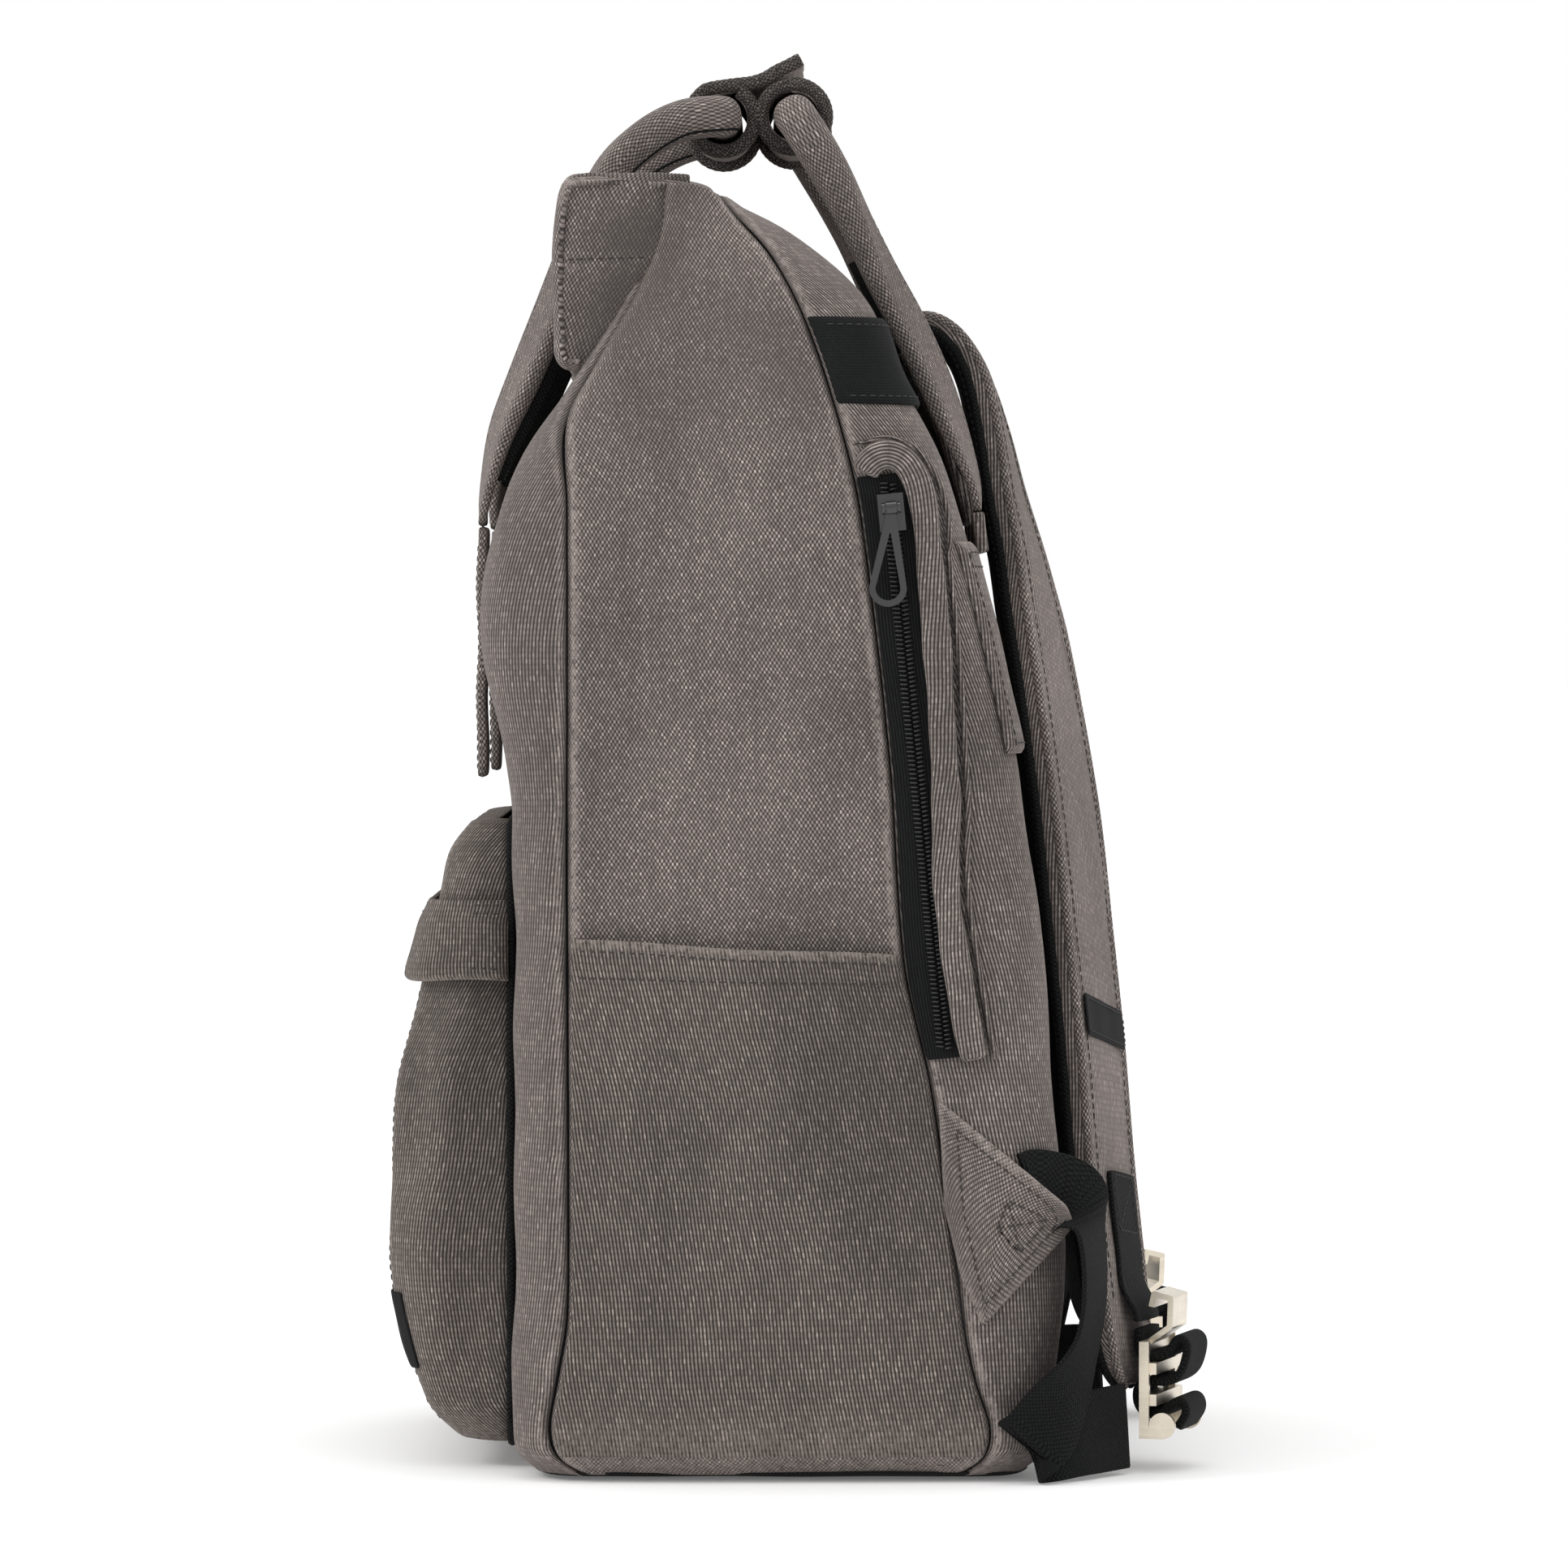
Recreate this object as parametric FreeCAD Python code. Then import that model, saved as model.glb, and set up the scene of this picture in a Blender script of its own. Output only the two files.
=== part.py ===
"""Roll-top travel backpack, built panel by panel the way it is sewn.

Frame: +Z up, the front pocket faces -Y, the shoulder straps are on the +Y side, X runs across the bag.
The origin is on the surface that the bag stands on, under the middle of its side panels. Millimetres.
"""
import FreeCAD, Part
import os
from math import cos, radians, sin

V = FreeCAD.Vector

# ---------------------------------------------------------------- driving dimensions
DRIVING = {
    "half_width": 150.0,  # side panel to the middle of the bag
    "body_top": 446.0,  # rim of the mouth
    "canvas": 1.4,
    "lining": 0.6,
    "sewing_gap": 0.3,  # room left between two pieces that only touch
    "corner_front": 22.0,
    "corner_back": 22.0,
    "base_thickness": 2.6,
    "board_thickness": 2.0,
    "foam_thickness": 5.0,
    "divider_thickness": 6.0,
    "laptop_depth": 24.0,
    "pocket_half_width": 108.0,
    "pocket_corner": 20.0,
    "webbing_width": 32.0,
    "webbing_thickness": 1.8,
    "strap_tilt": 16.0,  # the pads turn outwards, degrees
    "handle_width": 25.0,
    "handle_thickness": 3.4,
    "leg_width": 22.0,
    "leg_thickness": 5.8,
    "grip_width": 14.0,
    "grip_thickness": 11.0,
    "handle_twist": 27.0,  # the legs turn their outer faces sideways, degrees
    "wrap_length": 96.0,
    "wrap_wall": 2.6,
    "wrap_radius": 12.5,
    "zip_tape_width": 7.0,
    "zip_tape_thickness": 0.8,
    "coil_width": 2.0,
    "coil_height": 2.2,
    "coil_gap": 1.4,
    "slider_length": 13.0,
    "slider_width": 9.0,
    "slider_wall": 1.1,
    "puller_length": 34.0,
    "puller_radius": 6.5,
    "puller_rim": 2.2,
    "puller_thickness": 1.8,
    "buckle_width": 42.0,
    "buckle_height": 34.0,
    "buckle_sheet": 2.0,
    "buckle_rail": 4.0,
    "buckle_flange": 3.5,
}

doc = FreeCAD.newDocument("travel_backpack")
sheet = doc.addObject("Spreadsheet::Sheet", "dims")
for number, (alias, size) in enumerate(DRIVING.items(), start=1):
    sheet.set(f"A{number}", alias)
    sheet.set(f"B{number}", str(size))
    sheet.setAlias(f"B{number}", alias)
doc.recompute()


def dim(alias):
    return float(sheet.get(alias))


half_width = dim("half_width")
body_top = dim("body_top")
canvas = dim("canvas")
gap = dim("sewing_gap")
base = dim("base_thickness")

# Height, half width, front and back of the bag, from the base to the mouth.
BODY = [
    (0.0, half_width - 5, -88.0, 90.0),
    (12.0, half_width, -92.0, 96.0),
    (90.0, half_width, -92.0, 99.0),
    (230.0, half_width, -92.0, 88.0),
    (290.0, half_width, -102.0, 76.0),
    (330.0, half_width - 1, -99.0, 66.0),
    (356.0, half_width - 3, -89.0, 58.0),
    (384.0, half_width - 8, -69.0, 43.0),
    (412.0, half_width - 17, -52.0, 31.0),
    (436.0, half_width - 27, -42.0, 2.0),
    (body_top, half_width - 30, -41.0, -20.0),
]
# The front pocket in the same way.
POCKET_BACK = -93.4
POCKET = [
    (10.0, dim("pocket_half_width") - 8, -112.0),
    (22.0, dim("pocket_half_width") - 2, -124.0),
    (50.0, dim("pocket_half_width"), -133.0),
    (90.0, dim("pocket_half_width"), -137.0),
    (130.0, dim("pocket_half_width"), -135.0),
    (165.0, dim("pocket_half_width") - 1, -127.0),
    (205.0, dim("pocket_half_width") - 2, -119.0),
    (218.0, dim("pocket_half_width") - 4, -116.0),
    (228.0, dim("pocket_half_width") - 7, -108.0),
]
# Where the side panels are sewn to the front and to the back, as (Y, Z) from the base up.
FRONT_SEAM = [(-73.0, -1.0), (-72.0, 356.0), (-60.0, 384.0), (-40.0, 420.0), (-35.0, 450.0)]
BACK_SEAM = [
    (71.0, -1.0), (66.0, 45.0), (53.0, 138.0), (44.0, 180.0), (39.0, 250.0),
    (29.0, 335.0), (24.0, 358.0), (12.0, 397.0), (-2.0, 425.0), (-24.0, 450.0),
]
# The side zip runs straight, from its top stop to its bottom stop.
ZIP_TOP = V(half_width, 38.5, 346)
ZIP_BOTTOM = V(half_width, 58.0, 150)
POCKET_ZIP_Z = 185.0
POCKET_ZIP_HALF = 84.0


# ---------------------------------------------------------------- shape helpers
def rounded_section(z, hx, front, back, r_front, r_back):
    """Closed horizontal outline with rounded corners."""
    corners = [
        (V(hx - r_front, front + r_front, z), r_front, -90),
        (V(hx - r_back, back - r_back, z), r_back, 0),
        (V(-hx + r_back, back - r_back, z), r_back, 90),
        (V(-hx + r_front, front + r_front, z), r_front, 180),
    ]

    def at(centre, r, angle):
        return centre + V(r * cos(radians(angle)), r * sin(radians(angle)), 0)

    edges = []
    for number, (centre, r, start) in enumerate(corners):
        edges.append(Part.Arc(at(centre, r, start), at(centre, r, start + 45), at(centre, r, start + 90)).toShape())
        following, r_next, start_next = corners[(number + 1) % 4]
        edges.append(Part.makeLine(at(centre, r, start + 90), at(following, r_next, start_next)))
    return Part.Wire(edges)


def body_volume(inset, z_low=None):
    """The bag's outer volume, moved inwards by inset."""
    wires = []
    for z, hx, front, back in BODY:
        depth = back - front
        r_front = max(min(dim("corner_front"), depth * 0.35) - inset, 2.0)
        r_back = max(min(dim("corner_back"), depth * 0.35) - inset, 2.0)
        if z == 0.0 and z_low is not None:
            z = z_low
        elif z == body_top:
            z = body_top + (1.0 if inset > 0 else 0.0)
        wires.append(rounded_section(z, hx - inset, front + inset, back - inset, r_front, r_back))
    return Part.makeLoft(wires, True, True)


def pocket_volume(inset, back=POCKET_BACK, z_shift=0.0):
    wires = []
    last = len(POCKET) - 1
    for number, (z, hx, front) in enumerate(POCKET):
        if number == 0:
            z = z + z_shift
        if number == last:
            z = z - z_shift
        r = max(min(dim("pocket_corner"), (back - front) * 0.7) - inset, 1.5)
        wires.append(rounded_section(z, hx - inset, front + inset, back, r, 1.0))
    return Part.makeLoft(wires, True, True)


def side_prism(points, x_low, x_high):
    """A (Y, Z) polygon run along X."""
    corners = [V(x_low, y, z) for y, z in points]
    face = Part.Face(Part.makePolygon(corners + corners[:1]))
    return face.extrude(V(x_high - x_low, 0, 0))


def block(x, y, z):
    """A box from its low and high limits along each axis."""
    return Part.makeBox(x[1] - x[0], y[1] - y[0], z[1] - z[0], V(x[0], y[0], z[0]))


def ribbon(stations):
    """A strap through stations of (centre, width direction, width, thickness), each section at right angles to it."""
    wires = []
    last = len(stations) - 1
    for number, (centre, across, width, thickness) in enumerate(stations):
        ahead = stations[min(number + 1, last)][0] - stations[max(number - 1, 0)][0]
        ahead.normalize()
        side = across - ahead * across.dot(ahead)
        side.normalize()
        face = ahead.cross(side)
        half, depth = side * (width / 2), face * (thickness / 2)
        corners = [centre - half - depth, centre + half - depth, centre + half + depth, centre - half + depth]
        wires.append(Part.makePolygon(corners + corners[:1]))
    return Part.makeLoft(wires, True, True)


def mirrored(shape):
    return shape.mirror(V(0, 0, 0), V(1, 0, 0))


nodes = []


def node(name, shape, placement=None):
    """A sub-part whose shape is worked out here from the sheet."""
    feature = doc.addObject("Part::Feature", name)
    feature.Shape = shape
    feature.Label = name
    if placement is not None:
        feature.Placement = placement
    nodes.append(feature)
    return feature


def pair(name, shape):
    """The same piece on the right, +X, and on the left."""
    node(name + "_right", shape)
    node(name + "_left", mirrored(shape))


# ---------------------------------------------------------------- the sewn body
FAR = 400.0
front_region = side_prism([(-FAR, -1.0)] + FRONT_SEAM + [(-FAR, 450.0)], -FAR, FAR)
back_region = side_prism([(FAR, -1.0)] + BACK_SEAM + [(FAR, 450.0)], -FAR, FAR)
above_base = block((-FAR, FAR), (-FAR, FAR), (base, FAR * 2))
zip_slope = (ZIP_BOTTOM.y - ZIP_TOP.y) / (ZIP_TOP.z - ZIP_BOTTOM.z)


def zip_y(z):
    """Y of the middle of the side zip at a height."""
    return ZIP_TOP.y + (ZIP_TOP.z - z) * zip_slope


SLOT_HALF = dim("slider_width") / 2 + 0.6
zip_slot = side_prism(
    [(zip_y(153) - SLOT_HALF, 153.0), (zip_y(153) + SLOT_HALF, 153.0),
     (zip_y(344) + SLOT_HALF, 344.0), (zip_y(344) - SLOT_HALF, 344.0)], half_width - 12, half_width + 12)

outer = body_volume(0)
walls = outer.cut(body_volume(canvas, z_low=-1.0)).common(above_base)
node("front_panel", walls.common(front_region))
node("back_panel", walls.common(back_region).cut(zip_slot))
side_walls = walls.cut(front_region).cut(back_region).cut(zip_slot)
right_half = block((0, FAR), (-FAR, FAR), (-FAR, FAR * 2))
node("side_panel_right", side_walls.common(right_half))
node("side_panel_left", side_walls.cut(right_half))
node("base_panel", outer.cut(above_base))

lining_gap = 0.1
lining_in = canvas + lining_gap
lining_floor = base + lining_gap
lining_outer = body_volume(lining_in).common(block((-FAR, FAR), (-FAR, FAR), (lining_floor, body_top - 2)))
lining_inner = body_volume(lining_in + dim("lining")).common(
    block((-FAR, FAR), (-FAR, FAR), (lining_floor + dim("lining"), body_top + 2)))
node("lining", lining_outer.cut(lining_inner).cut(zip_slot))

board_low = lining_floor + dim("lining") + lining_gap
clear_inside = body_volume(lining_in + dim("lining") + lining_gap)
BOARD_INSET = 14.0
board = body_volume(BOARD_INSET).common(
    block((-FAR, FAR), (-FAR, FAR), (board_low, board_low + dim("board_thickness"))))
node("base_board", board)


def back_slab(depth_low, depth_high, z_low, z_high, across):
    """A sheet that follows the back at a depth in front of it."""
    outline = [(z, back) for z, _, _, back in BODY if z_low < z < z_high]
    rows = [(z_low, back_at(z_low))] + outline + [(z_high, back_at(z_high))]
    ring = [(y - depth_high, z) for z, y in rows] + [(y - depth_low, z) for z, y in reversed(rows)]
    return side_prism(ring, -across, across)


def back_at(z):
    """Y of the back at a height."""
    for (z_low, _, _, low), (z_high, _, _, high) in zip(BODY, BODY[1:]):
        if z_low <= z <= z_high:
            return low + (high - low) * (z - z_low) / (z_high - z_low)
    return BODY[-1][3]


above_board = board_low + dim("board_thickness") + gap
foam_in = lining_in + dim("lining") + lining_gap
node("back_foam", clear_inside.common(
    back_slab(foam_in, foam_in + dim("foam_thickness"), above_board, 350.0, half_width - 32)))
divider_in = foam_in + dim("foam_thickness") + dim("laptop_depth")
node("laptop_divider", clear_inside.common(
    back_slab(divider_in, divider_in + dim("divider_thickness"), above_board, 330.0, half_width)))

BAND_LOW, BAND_HIGH = 373.0, 404.0
band_in, band_out = -0.3, -0.3 - dim("webbing_thickness")
band_wall = body_volume(band_out).cut(body_volume(band_in, z_low=-1.0))
node("yoke_band", band_wall.common(back_region).common(
    block((-FAR, FAR), (-FAR, FAR), (BAND_LOW, BAND_HIGH))))

BACK_POCKET_LOW, BACK_POCKET_HIGH, BACK_POCKET_HALF = 252.0, 326.0, 143.0
sleeve_wall = body_volume(-2.4).cut(body_volume(-0.4, z_low=-1.0))
node("back_pocket_panel", sleeve_wall.common(
    block((-BACK_POCKET_HALF, BACK_POCKET_HALF), (30, FAR), (BACK_POCKET_LOW, BACK_POCKET_HIGH))))

# ---------------------------------------------------------------- side slip pockets
SIDE_POCKET = [(10.0, 2.2), (60.0, 7.0), (130.0, 9.0), (187.0, 8.0)]  # height, how far it stands out


def seam_y(seam, z):
    for (y_low, z_low), (y_high, z_high) in zip(seam, seam[1:]):
        if z_low <= z <= z_high:
            return y_low + (y_high - y_low) * (z - z_low) / (z_high - z_low)
    return seam[-1][0]


def crescent(z, bulge):
    """A pocket's section: cloth that leaves the side panel at one seam and comes back at the other."""
    front, back = seam_y(FRONT_SEAM, z) + 1.0, seam_y(BACK_SEAM, z) - 1.0
    middle = (front + back) / 2
    foot = half_width + gap
    outer_arc = Part.Arc(V(foot + canvas, front, z), V(foot + canvas + bulge, middle, z), V(foot + canvas, back, z))
    inner_arc = Part.Arc(V(foot, back, z), V(foot + bulge, middle, z), V(foot, front, z))
    edges = [
        outer_arc.toShape(), Part.makeLine(V(foot + canvas, back, z), V(foot, back, z)),
        inner_arc.toShape(), Part.makeLine(V(foot, front, z), V(foot + canvas, front, z)),
    ]
    return Part.Wire(edges)


pair("side_pocket", Part.makeLoft([crescent(z, bulge) for z, bulge in SIDE_POCKET], True, True))

# ---------------------------------------------------------------- front pocket
FACE_HALF = dim("pocket_half_width") - dim("pocket_corner")
POCKET_FLOOR = 22.0
ZIP_CUT = dim("slider_width") / 2 + 1.0
pocket_shell = pocket_volume(0).cut(pocket_volume(canvas, back=POCKET_BACK + 3, z_shift=canvas))
zip_window = block((-FACE_HALF, FACE_HALF), (-FAR, -104.0), (POCKET_ZIP_Z - ZIP_CUT, POCKET_ZIP_Z + ZIP_CUT))
face_region = block((-FACE_HALF, FACE_HALF), (-FAR, -104.0), (POCKET_FLOOR, POCKET_ZIP_Z))
above_zip = block((-FACE_HALF, FACE_HALF), (-FAR, -104.0), (POCKET_ZIP_Z, FAR))
node("pocket_face", pocket_shell.common(face_region).cut(zip_window))
node("pocket_top", pocket_shell.common(above_zip).cut(zip_window))
node("pocket_gusset", pocket_shell.cut(face_region).cut(above_zip))


def pocket_at(z):
    """Half width and front of the pocket at a height."""
    for (z_low, hx_low, front_low), (z_high, hx_high, front_high) in zip(POCKET, POCKET[1:]):
        if z_low <= z <= z_high:
            share = (z - z_low) / (z_high - z_low)
            return hx_low + (hx_high - hx_low) * share, front_low + (front_high - front_low) * share
    return POCKET[-1][1:]


PIPING = 2.6
piping_low, piping_high = POCKET[0][0] - 2.0, POCKET[-1][0] + 2.0
piping_half = dim("pocket_half_width") + PIPING
piping_y = (POCKET_BACK + 0.15, POCKET_BACK + 1.15)
piping = block((-piping_half, piping_half), piping_y, (piping_low, piping_high)).cut(
    block((8 - piping_half, piping_half - 8), (-FAR, FAR), (piping_low + 8, piping_high - 8)))
node("pocket_piping", piping)

label_wall = pocket_volume(-1.1, back=POCKET_BACK).cut(pocket_volume(-0.3, back=POCKET_BACK + 3))
node("pocket_label", label_wall.common(block((76, 104), (-FAR, -116), (35, 62))))

# Storm flap over the pocket zip: height and how far its inside stands off the pocket.
FLAP_ROWS = [(172.0, 5.0), (193.0, 4.4), (200.0, 1.2)]
FLAP_CLOTH = 1.8


def flap_section(z, stand_off):
    """Plan of the storm flap: across the pocket face and back along both sides."""
    hx, front = pocket_at(z)
    lines = []
    for offset in (stand_off, stand_off + FLAP_CLOTH):
        half, face_y, r = hx + offset, front - offset, dim("pocket_corner") + offset
        bend = r * cos(radians(45))
        for direction in (1, -1):
            rear = V(direction * half, POCKET_BACK - 1, z)
            start = V(direction * half, face_y + r, z)
            middle = V(direction * (half - r + bend), face_y + r - bend, z)
            end = V(direction * (half - r), face_y, z)
            lines.append((rear, start, middle, end))
    inner_right, inner_left, outer_right, outer_left = lines
    edges = []
    for right, left in ((outer_right, outer_left), (inner_right, inner_left)):
        edges += [
            Part.makeLine(right[0], right[1]), Part.Arc(*right[1:]).toShape(), Part.makeLine(right[3], left[3]),
            Part.Arc(*left[1:]).toShape(), Part.makeLine(left[1], left[0]),
        ]
    edges.append(Part.makeLine(outer_right[0], inner_right[0]))
    edges.append(Part.makeLine(outer_left[0], inner_left[0]))
    return Part.Wire(Part.__sortEdges__(edges))


storm_flap = Part.makeLoft([flap_section(z, off) for z, off in FLAP_ROWS], True, True)
node("pocket_flap", storm_flap.common(block((-FACE_HALF, FACE_HALF), (-FAR, 0), (0, FAR))))
pair("pocket_flap_side", storm_flap.common(block((FACE_HALF + gap, FAR), (-FAR, 0), (0, FAR))))

# ---------------------------------------------------------------- zips
# A zip is built with X out of the cloth, Y across the tape and Z along the travel of its slider.
half_coil_gap = dim("coil_gap") / 2
coil_edge = half_coil_gap + dim("coil_width")


def both_edges(y_low, y_high, x, length):
    """The same strip on either side of the zip's middle."""
    strip = Part.makeBox(x[1] - x[0], y_high - y_low, length, V(x[0], y_low, 0))
    return Part.makeCompound([strip, strip.mirror(V(0, 0, 0), V(0, 1, 0))])


def zip_placement(origin, travel, out):
    travel.normalize()
    return FreeCAD.Placement(origin, FreeCAD.Rotation(out, travel.cross(out), travel, "ZXY"))


def slider_body(tape_low, coil_top):
    """Two plates either side of the tape, joined by a post between the coils."""
    wall, half, length = dim("slider_wall"), dim("slider_width") / 2, dim("slider_length")
    inner = Part.makeBox(wall, 2 * half, length, V(tape_low - 0.3 - wall, -half, 0))
    top = Part.makeBox(wall, 2 * half, length, V(coil_top + 0.3, -half, 0))
    post = Part.makeBox(coil_top - tape_low + 0.6, 0.8, 3.2, V(tape_low - 0.3, -0.4, 1.0))
    return inner.fuse([top, post])


side_zip = zip_placement(ZIP_TOP, ZIP_BOTTOM - ZIP_TOP, V(1, 0, 0))
side_length = (ZIP_BOTTOM - ZIP_TOP).Length
tape_low = 0.3
tape_high = tape_low + dim("zip_tape_thickness")
coil_top = tape_high + 0.1 + dim("coil_height")
SLIDER_START = 4.0
node("side_zip_tape", both_edges(
    half_coil_gap, half_coil_gap + dim("zip_tape_width"), (tape_low, tape_high), side_length), side_zip)
node("side_zip_coil", both_edges(half_coil_gap, coil_edge, (tape_high + 0.1, coil_top), side_length), side_zip)

PIN_RADIUS, EYE_RADIUS = 0.9, 2.4
pin_x = coil_top + 0.3 + dim("slider_wall") + 0.3 + EYE_RADIUS
PIN_Z = SLIDER_START + 5.0
slider = slider_body(tape_low, coil_top)
slider.translate(V(0, 0, SLIDER_START))
for y_low in (-3.2, 2.2):
    lug = Part.makeBox(pin_x - coil_top - 0.5, 1.0, 4.0, V(coil_top + 0.5, y_low, PIN_Z - 2.0))
    slider = slider.fuse([lug, Part.makeCylinder(2.0, 1.0, V(pin_x, y_low, PIN_Z), V(0, 1, 0))])
slider = slider.fuse(Part.makeCylinder(PIN_RADIUS, 6.4, V(pin_x, -3.2, PIN_Z), V(0, 1, 0)))
node("side_zip_slider", slider, side_zip)

half_wire = dim("puller_thickness") / 2
puller_end = PIN_Z + dim("puller_length") - dim("puller_radius")


def teardrop(inset):
    """Outline tapering from the eye down to a round end."""
    tip, r = max(1.5 - inset, 0.2), dim("puller_radius") - inset
    x = pin_x - half_wire
    top = PIN_Z + 1.0 + inset * 3.5
    corners = [V(x, tip, top), V(x, r, puller_end), V(x, 0, puller_end + r), V(x, -r, puller_end), V(x, -tip, top)]
    edges = [
        Part.makeLine(corners[0], corners[1]), Part.Arc(corners[1], corners[2], corners[3]).toShape(),
        Part.makeLine(corners[3], corners[4]), Part.makeLine(corners[4], corners[0]),
    ]
    return Part.Face(Part.Wire(edges)).extrude(V(2 * half_wire, 0, 0))


eye = Part.makeCylinder(EYE_RADIUS, 3.6, V(pin_x, -1.8, PIN_Z), V(0, 1, 0))
PULLER_LEAN = 8.0  # it hangs plumb, a little off the line of the zip
puller = teardrop(0).cut(teardrop(dim("puller_rim")))
puller.rotate(V(pin_x, 0, PIN_Z), V(1, 0, 0), -PULLER_LEAN)
puller = puller.fuse(eye)
puller = puller.cut(Part.makeCylinder(PIN_RADIUS + 0.3, 8.0, V(pin_x, -4.0, PIN_Z), V(0, 1, 0)))
node("side_zip_puller", puller, side_zip)

face_slope = (POCKET[6][2] - POCKET[5][2]) / (POCKET[6][0] - POCKET[5][0])
face_out = V(0, -1, face_slope)
face_out.normalize()
pocket_zip = zip_placement(V(-POCKET_ZIP_HALF, pocket_at(POCKET_ZIP_Z)[1], POCKET_ZIP_Z), V(1, 0, 0), face_out)
inner_low = -canvas - gap - dim("zip_tape_thickness")
inner_high = inner_low + dim("zip_tape_thickness")
inner_coil = inner_high + 0.1 + 1.3
node("pocket_zip_tape", both_edges(
    half_coil_gap, half_coil_gap + dim("zip_tape_width"), (inner_low, inner_high), 2 * POCKET_ZIP_HALF), pocket_zip)
node("pocket_zip_coil", both_edges(
    half_coil_gap, coil_edge, (inner_high + 0.1, inner_coil), 2 * POCKET_ZIP_HALF), pocket_zip)
pocket_slider = slider_body(inner_low, inner_coil)
pocket_slider.translate(V(0, 0, SLIDER_START))
stud_low = inner_coil + 0.3 + dim("slider_wall")
STUD_Z = SLIDER_START + 6.5
pocket_slider = pocket_slider.fuse(Part.makeCylinder(1.2, 1.6, V(stud_low, 0, STUD_Z), V(1, 0, 0)))
node("pocket_zip_slider", pocket_slider, pocket_zip)
TAB_LENGTH, TAB_HALF = 11.0, 2.6
pull_tab = Part.makeBox(1.0, TAB_LENGTH, 2 * TAB_HALF, V(stud_low + 0.25, 0, STUD_Z - TAB_HALF))
pull_tab = pull_tab.fuse(Part.makeCylinder(TAB_HALF, 1.0, V(stud_low + 0.25, 0, STUD_Z), V(1, 0, 0)))
pull_tab = pull_tab.cut(Part.makeCylinder(1.5, 4.0, V(stud_low - 1, 0, STUD_Z), V(1, 0, 0)))
node("pocket_zip_puller", pull_tab, pocket_zip)

# Rolled cloth edge behind the side zip, curling over its top end.
PLACKET_WIDTH, PLACKET_THICK = 9.4, 3.8
placket_x = half_width + tape_high + 0.4 + PLACKET_THICK / 2
placket_path = [(33.0, 353.0), (39.0, 354.5), (45.0, 350.5), (48.6, 343.0)]
for z in (320.0, 288.0, 232.0, 204.0, 170.0, 146.0):
    placket_path.append((zip_y(z) + dim("slider_width") / 2 + PLACKET_WIDTH / 2 + 0.7, z))
placket = []
for number, (y, z) in enumerate(placket_path):
    y_next, z_next = placket_path[min(number + 1, len(placket_path) - 1)]
    y_last, z_last = placket_path[max(number - 1, 0)]
    placket.append((V(placket_x, y, z), V(0, z_last - z_next, y_next - y_last), PLACKET_WIDTH, PLACKET_THICK))
node("side_zip_placket", ribbon(placket))

# ---------------------------------------------------------------- roll-top
# Sections of the folded top as (Y, Z), at its ends and where the handle crosses it.
ROLL_END = [(-68, 385.5), (-76.5, 389), (-78.5, 420), (-77.5, 449), (-74, 454.5), (-46, 454.5), (-29, 453.5), (-29, 449.5)]
ROLL_MID = [(-68, 385.5), (-74.5, 388), (-67, 411), (-59, 434), (-51, 448), (-44, 453.5), (-29, 453.5), (-29, 449.5)]
ROLL_SPANS = [(-126.0, ROLL_END), (-88.0, ROLL_END), (-78.0, ROLL_MID), (78.0, ROLL_MID), (88.0, ROLL_END), (126.0, ROLL_END)]
ROLL_CLOTH = 2.8
PAST_BAG = 20.0  # the hollow is carried on this far into the bag, so the fold is open towards it


def roll_outside():
    wires = []
    for x, points in ROLL_SPANS:
        ring = [V(x, y, z) for y, z in points]
        wires.append(Part.makePolygon(ring + ring[:1]))
    return Part.makeLoft(wires, True, True)


def roll_inside():
    wires = []
    for x, points in ROLL_SPANS:
        x = x - ROLL_CLOTH if x > 100 else x + ROLL_CLOTH if x < -100 else x
        (tip_y, tip_z), (end_y, end_z) = points[0], points[-1]
        ring = [V(x, tip_y + PAST_BAG, tip_z - PAST_BAG)]
        ring += [V(x, y + ROLL_CLOTH, z - ROLL_CLOTH) for y, z in points[1:-1]]
        ring.append(V(x, end_y + ROLL_CLOTH, end_z - 2 * PAST_BAG))
        wires.append(Part.makePolygon(ring + ring[:1]))
    return Part.makeLoft(wires, True, True)


roll_top = roll_outside().cut(roll_inside()).cut(body_volume(-0.8))
node("roll_top", roll_top)

# ---------------------------------------------------------------- handles
# Each handle rises along a (Y, Z) path, turns inwards and runs across to the other leg.
FRONT_PATH = [(-104.2, 331.5), (-103.5, 342), (-98, 364), (-89.5, 384), (-79.5, 408), (-69.5, 434), (-59.5, 456),
              (-47, 468), (-34, 475), (-19.5, 477.5)]
BACK_PATH = [(71, 336), (69.5, 347), (62.5, 366), (53.5, 388), (45.5, 405), (36, 423), (20, 455), (6, 478.3)]
HANDLE_X = 64.5
TURN = 14.0
GATHER, ROLL_FROM = 50.0, 90.0  # a leg is drawn in over its first part and rolled up towards the grip


def along(path, distance):
    """Point and direction at a distance along a (Y, Z) path."""
    for (y0, z0), (y1, z1) in zip(path, path[1:]):
        step = V(0, y1 - y0, z1 - z0)
        if distance <= step.Length:
            point = V(0, y0, z0) + step * (distance / step.Length)
            step.normalize()
            return point, step
        distance -= step.Length
    return V(0, y1, z1), step


def path_length(path):
    return sum(V(0, y1 - y0, z1 - z0).Length for (y0, z0), (y1, z1) in zip(path, path[1:]))


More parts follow.
